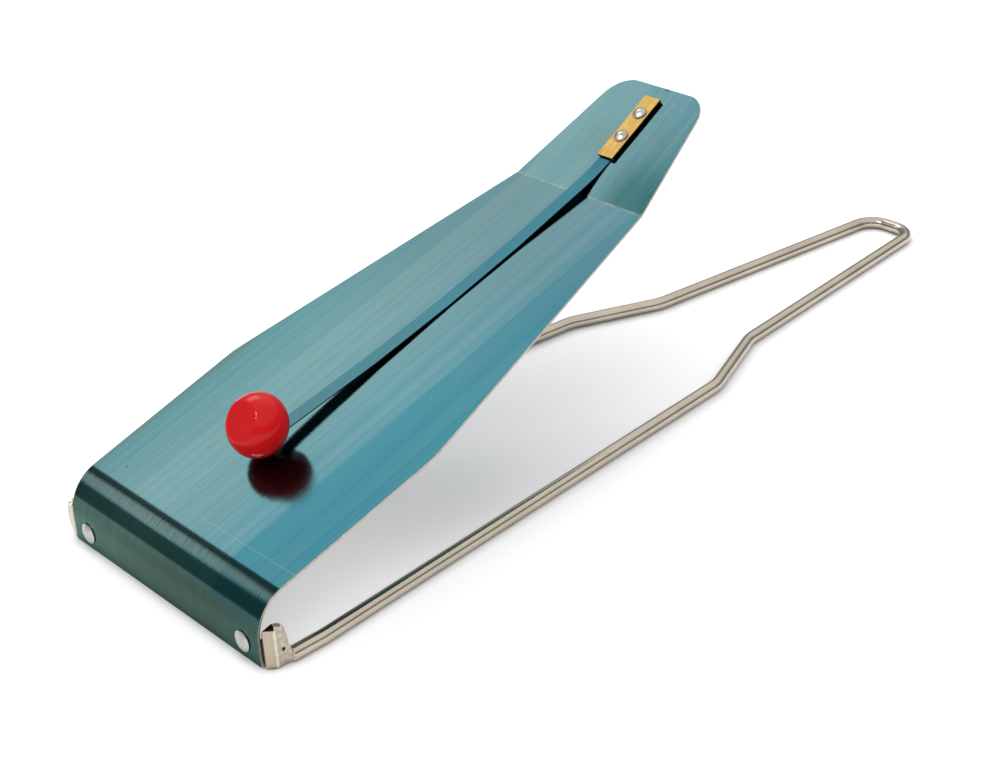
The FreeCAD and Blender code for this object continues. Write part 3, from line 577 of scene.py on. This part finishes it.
# %% The left end's own shape
bpy.ops.object.mode_set(mode="EDIT")
pick(wire, lambda p: p.x < -40.5 * MM and p.z > 9.5 * MM)
bpy.ops.transform.resize(value=(1, 1, 0.3), center_override=(0, 0, 9.5 * MM))
pick(wire, lambda p: p.x < -42.2 * MM and p.y < 2.5 * MM)
bpy.ops.transform.translate(value=(0, -2.2 * MM, 0))
shape = bmesh.from_edit_mesh(wire.data)
levels = sorted({round(v.co.z, 6) for v in shape.verts if v.co.x < -40.3 * MM and v.co.y < 2.0 * MM})
for level in levels:
    bow = math.sqrt(max(0.02, 1 - ((level / MM - 5.6) / 5.6) ** 2))
    pick(wire, lambda p: p.x < -40.3 * MM and p.y < 2.0 * MM and abs(p.z - level) < 0.001 * MM)
    bpy.ops.transform.resize(value=(bow, 1, 1), center_override=(-39.9 * MM, 0, 0))
bpy.ops.object.mode_set(mode="OBJECT")
finish_piece(wire, 38)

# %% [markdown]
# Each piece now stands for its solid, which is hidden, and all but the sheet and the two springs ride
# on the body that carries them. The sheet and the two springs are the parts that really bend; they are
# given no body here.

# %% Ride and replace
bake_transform(tongue)
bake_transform(upper_strip)
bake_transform(lower_strip)
PLACES = (
    (tongue, None, "tongue_plate", "blued_steel"),
    (upper_strip, None, "upper_spring", "spring_steel"),
    (lower_strip, None, "lower_spring", "spring_steel"),
    (upper_bead, "upper_beater", "upper_bead", "red_bead"),
    (lower_bead, "lower_beater", "lower_bead", "red_bead"),
    (upper_plate, "tongue", "upper_clamp_plate", "brass"),
    (lower_plate, "tongue", "lower_clamp_plate", "brass"),
    (wire, "frame", "wire_frame", "nickel_wire"),
    (rivets["flange_rivet_right"], "frame", "flange_rivet_right", "rivet_steel"),
    (rivets["flange_rivet_left"], "frame", "flange_rivet_left", "rivet_steel"),
    (rivets["clamp_rivet_near"], "tongue", "clamp_rivet_near", "rivet_steel"),
    (rivets["clamp_rivet_far"], "tongue", "clamp_rivet_far", "rivet_steel"),
)
for piece, body, solid, slot in PLACES:
    if body:
        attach(piece, body)
    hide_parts(solid)
    low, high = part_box(solid)
    points = [v.co for v in piece.data.vertices]
    gap = max(max(abs(min(p[i] for p in points) - low[i]), abs(max(p[i] for p in points) - high[i])) for i in range(3))
    print(f"{piece.name} stands for {solid}, boxes agree within {gap / MM:.2f} mm")

# %% [markdown]
# Finishes are node trees that read each piece's own object coordinates, so a pattern stays on its
# piece from every side. One helper adds a node, sets its inputs and links what is handed to it.

# %% Node helper
def add_node(finish, kind, inputs=None, **settings):
    """Add a node to a finish; an input that is another node's output is linked, any other is set."""
    made = finish.node_tree.nodes.new(kind)
    for setting, value in settings.items():
        setattr(made, setting, value)
    for socket, value in (inputs or {}).items():
        if isinstance(value, bpy.types.NodeSocket):
            finish.node_tree.links.new(value, made.inputs[socket])
        else:
            made.inputs[socket].default_value = value
    return made


def open_finish(name):
    """Clear a finish and give back its object coordinates and its shader."""
    finish = FINISHES[name]
    finish.use_nodes = True
    finish.node_tree.nodes.clear()
    place = add_node(finish, "ShaderNodeTexCoord").outputs["Object"]
    shader = add_node(finish, "ShaderNodeBsdfPrincipled")
    add_node(finish, "ShaderNodeOutputMaterial", {"Surface": shader.outputs[0]})
    return finish, place, shader


def grain(finish, place, stretch, scale, detail=4.0, roughness=0.6):
    """Noise stretched by a scale on each axis, between 0 and 1."""
    mapped = add_node(finish, "ShaderNodeMapping", {"Vector": place, "Scale": stretch})
    noise = add_node(finish, "ShaderNodeTexNoise", {"Vector": mapped.outputs[0], "Scale": scale, "Detail": detail,
                                                    "Roughness": roughness})
    return noise.outputs["Fac"]


def ramp(finish, factor, *stops):
    """A colour ramp through stops of a place and a colour."""
    made = add_node(finish, "ShaderNodeValToRGB", {"Fac": factor})
    points = made.color_ramp.elements
    while len(points) < len(stops):
        points.new(0.5)
    for point, (position, colour) in zip(points, stops):
        point.position = position
        point.color = (*colour, 1)
    return made.outputs["Color"]


def spread(finish, value, low, high, to_low=0.0, to_high=1.0, smooth=False):
    """A value brought from one range to another and held there."""
    made = add_node(finish, "ShaderNodeMapRange", {"Value": value, "From Min": low, "From Max": high,
                                                   "To Min": to_low, "To Max": to_high},
                    interpolation_type="SMOOTHSTEP" if smooth else "LINEAR")
    return made.outputs[0]


def combine(finish, how, first, second=0.0):
    made = add_node(finish, "ShaderNodeMath", {0: first, 1: second}, operation=how)
    return made.outputs[0]


def mix(finish, factor, first, second, how="MIX"):
    """Two colours mixed."""
    made = add_node(finish, "ShaderNodeMix", {"Factor": factor}, data_type="RGBA", blend_type=how)
    for socket, value in ((6, first), (7, second)):
        if isinstance(value, bpy.types.NodeSocket):
            finish.node_tree.links.new(value, made.inputs[socket])
        else:
            made.inputs[socket].default_value = (*value, 1)
    return made.outputs[2]


def bump(finish, shader, height, strength, distance):
    made = add_node(finish, "ShaderNodeBump", {"Height": height, "Strength": strength, "Distance": distance})
    finish.node_tree.links.new(made.outputs[0], shader.inputs["Normal"])


print("finishes:", sorted(FINISHES))

# %% [markdown]
# The sheet is spring steel tempered to a teal blue. Rolling leaves fine streaks along its length, the
# blue is deepest along one side, the flange has an olive cast where it was handled, and the crease
# has worn to a thin tan line. The streaks are noise squeezed across the sheet and drawn out along it.
# They go into the bump as well, so the bend breaks up what it mirrors into fine lines, as rolled metal
# does. The lights give the bend most of its pale and dark bands, and paint adds to them: a painted
# reflection of a pale band combed with fine dark lines, and painted shade that tints the two dark
# bands either side of it greener.

# %% Blued sheet
def spot(finish, place, centre, size):
    """1 at a point and 0 beyond a distance from it."""
    away = add_node(finish, "ShaderNodeVectorMath", {0: place, 1: centre}, operation="DISTANCE").outputs["Value"]
    return spread(finish, away, size, 0.4 * size)


def line(finish, distance, half):
    """1 along a line and 0 beyond half its width, from a signed distance."""
    return spread(finish, combine(finish, "ABSOLUTE", distance), half, 0.4 * half)


finish, place, shader = open_finish("blued_sheet")
axes = add_node(finish, "ShaderNodeSeparateXYZ", {"Vector": place}).outputs
fine = grain(finish, place, (1500, 14, 14), 1.0, 4.0, 0.65)
broad = grain(finish, place, (130, 5, 5), 1.0, 3.0, 0.6)
cloudy = grain(finish, place, (60, 40, 40), 1.0, 4.0, 0.6)
wander = combine(finish, "MULTIPLY", combine(finish, "SUBTRACT", broad, 0.5), 16 * MM)
across = spread(finish, combine(finish, "ADD", axes["X"], wander), -40 * MM, 40 * MM)
blue = ramp(finish, across, (0.0, (0.056, 0.090, 0.088)), (0.05, (0.058, 0.117, 0.127)), (0.33, (0.090, 0.142, 0.148)),
            (0.57, (0.072, 0.130, 0.143)), (0.74, (0.060, 0.124, 0.142)), (0.78, (0.030, 0.101, 0.127)),
            (0.98, (0.026, 0.096, 0.124)))
olive = ramp(finish, across, (0.05, (0.070, 0.114, 0.088)), (0.50, (0.048, 0.068, 0.042)),
             (0.76, (0.040, 0.060, 0.038)), (0.96, (0.042, 0.080, 0.070)))
low_down = spread(finish, axes["Z"], 16 * MM, 9 * MM, 0.0, 1.0, True)
stain = spread(finish, grain(finish, place, (220, 90, 220), 1.0, 5.0, 0.6), 0.4, 0.68, 0.0, 0.55)
tempered = mix(finish, low_down, blue, mix(finish, stain, olive, (0.054, 0.060, 0.030)))
far_up = combine(finish, "MULTIPLY", spread(finish, axes["Y"], 60 * MM, 135 * MM, 0.0, 0.34, True),
                 spread(finish, axes["Y"], crease.y + 0.5 * MM, crease.y - 0.5 * MM))
deepened = mix(finish, far_up, tempered, (0.032, 0.03, 0.04))
mottled = mix(finish, spread(finish, cloudy, 0.4, 0.7, 0.0, 0.15), deepened, (0.058, 0.092, 0.074))
bands = grain(finish, place, (620, 2.5, 2.5), 1.0, 3.0, 0.6)
banded = mix(finish, spread(finish, bands, 0.38, 0.62), mottled, (0.74, 0.91, 0.95), "MULTIPLY")
streaked = mix(finish, spread(finish, fine, 0.3, 0.75, 0.0, 0.65), banded, (0.42, 0.53, 0.50), "SOFT_LIGHT")
# Painted reflection: a pale band along the top of the bend, combed with fine dark lines.
on_bend = combine(finish, "MULTIPLY", spread(finish, axes["Y"], 7.2 * MM, 6.2 * MM), spread(finish, axes["Z"], 15.5 * MM, 17 * MM))
with_painted_pale_band = mix(finish, combine(finish, "MULTIPLY", on_bend, 0.55), streaked, (0.078, 0.103, 0.088))
painted_line_mask = spread(finish, grain(finish, place, (1600, 8, 8), 1.0, 2.0), 0.4, 0.62, 0.0, 0.48)
with_painted_band_lines = mix(finish, combine(finish, "MULTIPLY", on_bend, painted_line_mask), with_painted_pale_band, (0.028, 0.048, 0.046))
# Painted shade: the bend's two dark bands, either side of the pale one, are tinted greener.
lower_band = combine(finish, "MULTIPLY", spread(finish, axes["Z"], 11.5 * MM, 14 * MM, smooth=True),
                     spread(finish, axes["Z"], 16.4 * MM, 15.2 * MM, smooth=True))
upper_band = combine(finish, "MULTIPLY", spread(finish, axes["Y"], 6.2 * MM, 6.7 * MM, smooth=True),
                     spread(finish, axes["Y"], 7.3 * MM, 6.9 * MM, smooth=True))
with_painted_dark_bands = mix(finish, combine(finish, "MAXIMUM", lower_band, upper_band), with_painted_band_lines, (0.72, 1.12, 1.0), "MULTIPLY")
print("tempered colours and streaks laid")

# %% [markdown]
# Use has left small marks on the sheet: the worn crease, a line scribed across the tongue before it was
# bent, two specks and a nick in the tip. Each is a mask made from the distance to a line or a point.
# The tab is also made darker towards its right side just past the crease, and two olive smudges lie on it.

# %% Marks on the sheet
TAN = (0.22, 0.20, 0.135)
BROWN = (0.022, 0.018, 0.012)
EDGE_BLUE = (0.70, 0.88, 0.90, 1)
crease_line = line(finish, combine(finish, "SUBTRACT", axes["Y"], crease.y), 0.5 * MM)
crease_wear = combine(finish, "MULTIPLY", crease_line,
                      spread(finish, grain(finish, place, (260, 4, 4), 1.0), 0.4, 0.66, 0.06, 0.42))
scribe_place = combine(finish, "SUBTRACT", combine(finish, "SUBTRACT", axes["Y"], 11.5 * MM),
                       combine(finish, "MULTIPLY", axes["X"], 0.011))
scribe = combine(finish, "MULTIPLY", line(finish, scribe_place, 0.16 * MM),
                 spread(finish, axes["X"], -24 * MM, 5 * MM, 0.0, 0.18))
darker_corner = combine(finish, "MULTIPLY", spread(finish, axes["X"], 2 * MM, 15 * MM, 0.0, 0.72, True),
                        combine(finish, "MULTIPLY", spread(finish, axes["Y"], 167 * MM, 148 * MM, smooth=True),
                                spread(finish, axes["Y"], crease.y - 0.5 * MM, crease.y + 0.5 * MM)))
tab_darkened_and_smudged = mix(finish, darker_corner, with_painted_dark_bands, (0.014, 0.058, 0.056))
for centre, size, depth, colour in (((-8, 160, 70), 10, 0.25, (0.080, 0.090, 0.060)), ((12, 165, 72), 8, 0.25, (0.060, 0.085, 0.055))):
    away = add_node(finish, "ShaderNodeVectorMath", {0: place, 1: Vector(centre) * MM}, operation="DISTANCE").outputs["Value"]
    tab_darkened_and_smudged = mix(finish, spread(finish, away, size * MM, 0, 0.0, depth, True), tab_darkened_and_smudged, colour)
marked = mix(finish, combine(finish, "MAXIMUM", crease_wear, scribe), tab_darkened_and_smudged, TAN)
for centre, size in (((-30.4, 12.2, 19.8), 0.4), ((-15.9, 27.7, 24.6), 0.3), ((1.4, tip.y / MM, tip.z / MM), 0.9)):
    marked = mix(finish, spot(finish, place, Vector(centre) * MM, size * MM), marked, BROWN)
finish.node_tree.links.new(marked, shader.inputs["Base Color"])
shader.inputs["Metallic"].default_value = 1.0
shader.inputs["Specular Tint"].default_value = EDGE_BLUE
finish.node_tree.links.new(spread(finish, fine, 0.25, 0.8, 0.10, 0.15), shader.inputs["Roughness"])
bump(finish, shader, fine, 0.7, 0.035 * MM)
print("blued sheet:", len(finish.node_tree.nodes), "nodes")

# %% [markdown]
# The sheared edge is bare steel with a warm cast and short scratches across it, a little rougher than
# the sheet's face.

# %% Sheared edge
finish, place, shader = open_finish("sheared_edge")
scratches = grain(finish, place, (900, 900, 900), 1.0, 4.0)
finish.node_tree.links.new(ramp(finish, scratches, (0.25, (0.40, 0.36, 0.29)), (0.75, (0.66, 0.60, 0.51))),
                           shader.inputs["Base Color"])
finish.node_tree.links.new(spread(finish, scratches, 0.2, 0.8, 0.35, 0.55), shader.inputs["Roughness"])
shader.inputs["Metallic"].default_value = 0.6
bump(finish, shader, scratches, 0.1, 0.02 * MM)
print("sheared edge:", len(finish.node_tree.nodes), "nodes")

# %% [markdown]
# The leaf springs are tempered like the sheet, but a little bluer and smoother, with the same long
# grain.

# %% Blued spring
finish, place, shader = open_finish("blued_spring")
axes = add_node(finish, "ShaderNodeSeparateXYZ", {"Vector": place}).outputs
fine = grain(finish, place, (3000, 12, 12), 1.0, 4.0, 0.65)
cloudy = grain(finish, place, (40, 18, 18), 1.0, 2.0)
tint = ramp(finish, cloudy, (0.3, (0.019, 0.074, 0.096)), (0.7, (0.024, 0.084, 0.108)))
greyed = mix(finish, spread(finish, axes["Y"], 125 * MM, 55 * MM, 0.0, 0.75), tint, (0.034, 0.086, 0.098))
finish.node_tree.links.new(mix(finish, spread(finish, fine, 0.3, 0.75, 0.0, 0.2), greyed, (0.3, 0.5, 0.55), "SOFT_LIGHT"),
                           shader.inputs["Base Color"])
finish.node_tree.links.new(spread(finish, fine, 0.25, 0.8, 0.17, 0.24), shader.inputs["Roughness"])
shader.inputs["Metallic"].default_value = 1.0
shader.inputs["Specular Tint"].default_value = EDGE_BLUE
bump(finish, shader, fine, 0.08, 0.02 * MM)
print("blued spring:", len(finish.node_tree.nodes), "nodes")

# %% [markdown]
# The wire is nickel plated, a warm silver gone a little beige. Where its ends were hammered, the
# plating is dimpled. The dimples are cells of a Voronoi pattern, kept to the outer side of the lugs,
# and their hollows are painted darker as shade. On the right end the groove beside the flange, the
# notch at the top of the fold and one deep pit are painted nearly black as shade, and the fold's
# front face is painted a little darker as shade. A painted highlight runs along the fold's ridge on
# both ends.

# %% Nickel wire
finish, place, shader = open_finish("nickel_wire")
axes = add_node(finish, "ShaderNodeSeparateXYZ", {"Vector": place}).outputs
sideways = combine(finish, "ABSOLUTE", axes["X"])
hammered = combine(finish, "MULTIPLY", spread(finish, sideways, 42.2 * MM, 42.7 * MM),
                   spread(finish, axes["Y"], 7.2 * MM, 5.8 * MM))
cells = add_node(finish, "ShaderNodeTexVoronoi", {"Vector": place, "Scale": 900.0, "Smoothness": 0.7},
                 feature="SMOOTH_F1").outputs["Distance"]
tarnish = grain(finish, place, (70, 70, 70), 1.0, 5.0)
plating = ramp(finish, tarnish, (0.3, (0.52, 0.46, 0.37)), (0.7, (0.63, 0.57, 0.47)))
front = spread(finish, axes["Y"], 2.6 * MM, 2.4 * MM)
groove = combine(finish, "MULTIPLY", spread(finish, sideways, 41.25 * MM, 41.1 * MM),
                 spread(finish, axes["Z"], 0.9 * MM, 1.4 * MM))
notch = spread(finish, axes["Z"], 10.7 * MM, 10.9 * MM)
right_side = spread(finish, axes["X"], 0, 1 * MM)
# Painted shade: the groove beside the flange and the notch at the top of the right fold are made nearly black, and so
# is one pit.
painted_recess_shade = combine(finish, "MULTIPLY", combine(finish, "MULTIPLY", front, right_side),
                combine(finish, "MAXIMUM", groove, notch))
pit = spot(finish, place, Vector((42.95, 4.45, 4.8)) * MM, 0.75 * MM)
painted_recess_and_pit_shade = combine(finish, "MAXIMUM", painted_recess_shade, pit)
# Painted shade: the hollows of the hammered dimples are made darker.
painted_dimple_shade = combine(finish, "MULTIPLY", hammered, spread(finish, cells, 0.25, 0.6, 0.0, 0.6))
# Painted shade: the front face of the right fold is made darker.
face = combine(finish, "MULTIPLY", combine(finish, "MULTIPLY", front, right_side),
               spread(finish, sideways, 42.9 * MM, 42.5 * MM, 0.0, 0.6))
plating_with_painted_shade = mix(finish, face, mix(finish, painted_dimple_shade, plating, (0.34, 0.30, 0.24)), (0.40, 0.32, 0.23))
# Painted highlight: a light line along the fold's ridge.
painted_ridge_highlight = combine(finish, "MULTIPLY", line(finish, combine(finish, "SUBTRACT", axes["Y"], 2.5 * MM), 0.35 * MM),
                spread(finish, sideways, 42.5 * MM, 42.8 * MM, 0.0, 0.6))
rubbed = mix(finish, painted_ridge_highlight, plating_with_painted_shade, (0.80, 0.74, 0.63))
finish.node_tree.links.new(mix(finish, painted_recess_and_pit_shade, rubbed, (0.012, 0.010, 0.007)), shader.inputs["Base Color"])
finish.node_tree.links.new(spread(finish, tarnish, 0.3, 0.8, 0.15, 0.26), shader.inputs["Roughness"])
shader.inputs["Metallic"].default_value = 1.0
bump(finish, shader, combine(finish, "MULTIPLY", combine(finish, "MULTIPLY", cells, hammered), -1.0), 0.6, 0.3 * MM)
print("nickel wire:", len(finish.node_tree.nodes), "nodes")

# %% [markdown]
# The rivets are plain bright steel, peened by hand, so their heads have soft flats. A thin dark ring
# is painted round the base of each head as shade, where it sits on the plate or the flange.

# %% Rivet steel
finish, place, shader = open_finish("rivet_steel")
peened = add_node(finish, "ShaderNodeTexVoronoi", {"Vector": place, "Scale": 900.0, "Smoothness": 0.8},
                  feature="SMOOTH_F1").outputs["Distance"]
dull = grain(finish, place, (400, 400, 400), 1.0, 4.0)
bright = ramp(finish, dull, (0.3, (0.42, 0.41, 0.38)), (0.7, (0.60, 0.59, 0.55)))
axes = add_node(finish, "ShaderNodeSeparateXYZ", {"Vector": place}).outputs
above_tab = add_node(finish, "ShaderNodeVectorMath", {0: place, 1: tab_up}, operation="DOT_PRODUCT").outputs["Value"]
seat_height = on_tab(0, 0).dot(tab_up) + STRIP + CLAMP
# Painted shade: a dark ring where each head sits down.
painted_base_shade = combine(finish, "MAXIMUM", line(finish, combine(finish, "SUBTRACT", above_tab, seat_height), 0.25 * MM),
               line(finish, axes["Y"], 0.2 * MM))
finish.node_tree.links.new(mix(finish, painted_base_shade, bright, (0.05, 0.045, 0.035)), shader.inputs["Base Color"])
finish.node_tree.links.new(spread(finish, dull, 0.2, 0.8, 0.24, 0.42), shader.inputs["Roughness"])
shader.inputs["Metallic"].default_value = 1.0
bump(finish, shader, peened, 0.4, 0.2 * MM)
print("rivet steel:", len(finish.node_tree.nodes), "nodes")

# %% [markdown]
# The brass plates are mustard gold, dulled and mottled where they have been touched. Their sides and
# near end are painted nearly black as shade, a mask made from the distance to the plate's sides and end.

# %% Worn brass
finish, place, shader = open_finish("worn_brass")
axes = add_node(finish, "ShaderNodeSeparateXYZ", {"Vector": place}).outputs
rubbed = grain(finish, place, (1100, 90, 90), 1.0, 4.0)
touched = grain(finish, place, (420, 300, 300), 1.0, 5.0, 0.65)
gold = ramp(finish, rubbed, (0.3, (0.50, 0.315, 0.085)), (0.7, (0.62, 0.41, 0.13)))
dulled = mix(finish, spread(finish, touched, 0.48, 0.7, 0.0, 0.5), gold, (0.52, 0.28, 0.065))
along_tab = add_node(finish, "ShaderNodeVectorMath", {0: place, 1: tab_way}, operation="DOT_PRODUCT").outputs["Value"]
near_end = on_tab(CLAMP_NEAR, 0).dot(tab_way)
# Painted shade: the plate's sides and near end are made nearly black.
sides = spread(finish, combine(finish, "ABSOLUTE", axes["X"]), CLAMP_WIDTH / 2 - 0.08 * MM, CLAMP_WIDTH / 2 - 0.02 * MM)
painted_edge_shade = combine(finish, "MAXIMUM", sides, spread(finish, along_tab, near_end + 0.08 * MM, near_end + 0.02 * MM))
finish.node_tree.links.new(mix(finish, painted_edge_shade, dulled, (0.02, 0.014, 0.006)), shader.inputs["Base Color"])
finish.node_tree.links.new(spread(finish, touched, 0.3, 0.75, 0.42, 0.58), shader.inputs["Roughness"])
shader.inputs["Metallic"].default_value = 1.0
bump(finish, shader, touched, 0.25, 0.06 * MM)
print("worn brass:", len(finish.node_tree.nodes), "nodes")

# %% [markdown]
# The beads are lacquered red, smooth with a faint orange peel. The lacquer is a clear coat over an even
# colour, which gives the thin bright line along the rim.

# %% Red lacquer
finish, place, shader = open_finish("red_lacquer")
depth = grain(finish, place, (90, 90, 90), 1.0, 3.0)
peel = grain(finish, place, (700, 700, 700), 1.0, 2.0)
finish.node_tree.links.new(ramp(finish, depth, (0.3, (0.78, 0.005, 0.008)), (0.7, (0.86, 0.008, 0.011))),
                           shader.inputs["Base Color"])
finish.node_tree.links.new(spread(finish, peel, 0.2, 0.8, 0.34, 0.46), shader.inputs["Roughness"])
shader.inputs["Specular IOR Level"].default_value = 0.08
shader.inputs["Coat Weight"].default_value = 1.0
shader.inputs["Coat IOR"].default_value = 1.25
shader.inputs["Coat Roughness"].default_value = 0.05
bump(finish, shader, peel, 0.04, 0.05 * MM)
print("red lacquer:", len(finish.node_tree.nodes), "nodes")

# %% [markdown]
# The picture was taken on a white sheet that is lit from behind as well, so shadows on it stay pale.
# The floor is one large pale plane that glows a little, except close to where something stands on it.
# Inside the wire its glow is turned down by place, a painted shadow of the tongue.
# It isn't part of the instrument.

# %% Floor
bpy.ops.object.select_all(action="DESELECT")
bpy.ops.mesh.primitive_plane_add(size=30, location=(0, 0, 0))
floor = bpy.context.active_object
floor.name = "pale_floor"
paper = bpy.data.materials.new("pale_paper")
paper.use_nodes = True
sheet = paper.node_tree.nodes["Principled BSDF"]
sheet.inputs["Base Color"].default_value = (0.92, 0.92, 0.93, 1)
sheet.inputs["Roughness"].default_value = 0.9
sheet.inputs["Specular IOR Level"].default_value = 0.1
sheet.inputs["Emission Color"].default_value = (1.0, 1.0, 1.0, 1)
contact = add_node(paper, "ShaderNodeAmbientOcclusion", {"Distance": 3 * MM}, samples=8).outputs["AO"]
spot_on_floor = add_node(paper, "ShaderNodeSeparateXYZ",
                         {"Vector": add_node(paper, "ShaderNodeTexCoord").outputs["Object"]}).outputs
# Painted shadow: the glow is halved inside the wire, under the tongue.
inside = combine(paper, "MULTIPLY", spread(paper, combine(paper, "ABSOLUTE", spot_on_floor["X"]), 50 * MM, 25 * MM, smooth=True),
                 combine(paper, "MULTIPLY", spread(paper, spot_on_floor["Y"], 25 * MM, 90 * MM, smooth=True),
                         spread(paper, spot_on_floor["Y"], 260 * MM, 120 * MM, smooth=True)))
glow = combine(paper, "MULTIPLY", spread(paper, contact, 0.3, 0.95, 0.0, 0.46), spread(paper, inside, 0, 1, 1.0, 0.5))
paper.node_tree.links.new(glow, sheet.inputs["Emission Strength"])
floor.data.materials.append(paper)
print("floor laid")

# %% [markdown]
# The light is a studio with soft boxes. A box high on the left is what the tongue mirrors, a smaller
# panel at the front left draws the pale band along the bend, and a lamp in front, which only shows in
# reflections, glints on the rim of the bead. The room's ceiling is pale, which the wire
# shows along its top, and the room is dim low down, which gives the bend its dark bands. What the camera
# itself sees behind the floor is a pale backdrop.

# %% Lights and room
LOOK_AT = Vector((0, 0.09, 0.03))


def add_soft_box(name, azimuth, elevation, distance, width, height, radiance):
    """An area light aimed at the instrument; its power follows from how bright its face should look."""
    a, e = math.radians(azimuth), math.radians(elevation)
    way = Vector((math.sin(a) * math.cos(e), -math.cos(a) * math.cos(e), math.sin(e)))
    light = bpy.data.lights.new(name, "AREA")
    light.shape = "RECTANGLE"
    light.size, light.size_y = width, height
    light.energy = radiance * math.pi * width * height
    box = bpy.data.objects.new(name, light)
    bpy.context.scene.collection.objects.link(box)
    box.location = LOOK_AT + way * distance
    box.rotation_mode = "QUATERNION"
    box.rotation_quaternion = way.to_track_quat("Z", "Y")
    print(name, "gives", round(light.energy, 2), "W")
    return box


add_soft_box("left_box", -103.8, 44.4, 1.2, 0.66, 0.46, 2.6)
add_soft_box("front_left_panel", -59.7, 31.6, 1.3, 0.39, 0.385, 1.85)
rim_lamp = add_soft_box("rim_lamp", -12, 48, 1.3, 0.22, 0.50, 22)
rim_lamp.visible_diffuse = False

DIM, PALE = 0.28, 0.95
room = bpy.data.worlds.new("pale_room")
room.use_nodes = True
looking = add_node(room, "ShaderNodeTexCoord").outputs["Generated"]
rise = add_node(room, "ShaderNodeSeparateXYZ", {"Vector": looking}).outputs["Z"]
front_left = add_node(room, "ShaderNodeVectorMath", {0: looking, 1: (-0.866, -0.5, 0)},
                      operation="DOT_PRODUCT").outputs["Value"]
ceiling = combine(room, "MULTIPLY", spread(room, rise, 0.35, 0.55, smooth=True),
                  spread(room, front_left, 0.55, 0.25, smooth=True))
walls = room.node_tree.nodes["Background"]
walls.inputs["Color"].default_value = (1.0, 1.0, 1.0, 1)
backdrop = add_node(room, "ShaderNodeLightPath").outputs["Is Camera Ray"]
room.node_tree.links.new(spread(room, combine(room, "MAXIMUM", ceiling, backdrop), 0, 1, DIM, PALE), walls.inputs["Strength"])
bpy.context.scene.world = room
bpy.context.scene.view_settings.view_transform = "Standard"
print("room set")

# %% [markdown]
# The camera was found by fitting the instrument's corners to the picture: it stands about half a metre
# away, to the right of the flange and above it, and leans a little.

# %% Camera
camera_data = bpy.data.cameras.new("picture_camera")
camera_data.sensor_width = 36
camera_data.sensor_fit = "HORIZONTAL"
camera_data.lens = 68.07
camera_data.clip_start = 0.01
camera = bpy.data.objects.new("picture_camera", camera_data)
bpy.context.scene.collection.objects.link(camera)
right = Vector((0.677457, 0.733772, -0.051297))
upward = Vector((-0.322792, 0.359234, 0.875646))
back = right.cross(upward)
turn = Matrix((right, upward, back)).transposed().to_4x4()
camera.matrix_world = Matrix.Translation(Vector((341.941, -186.505, 261.389)) * MM) @ turn
bpy.context.scene.camera = camera
print("camera", [round(c / MM) for c in camera.location], "mm")
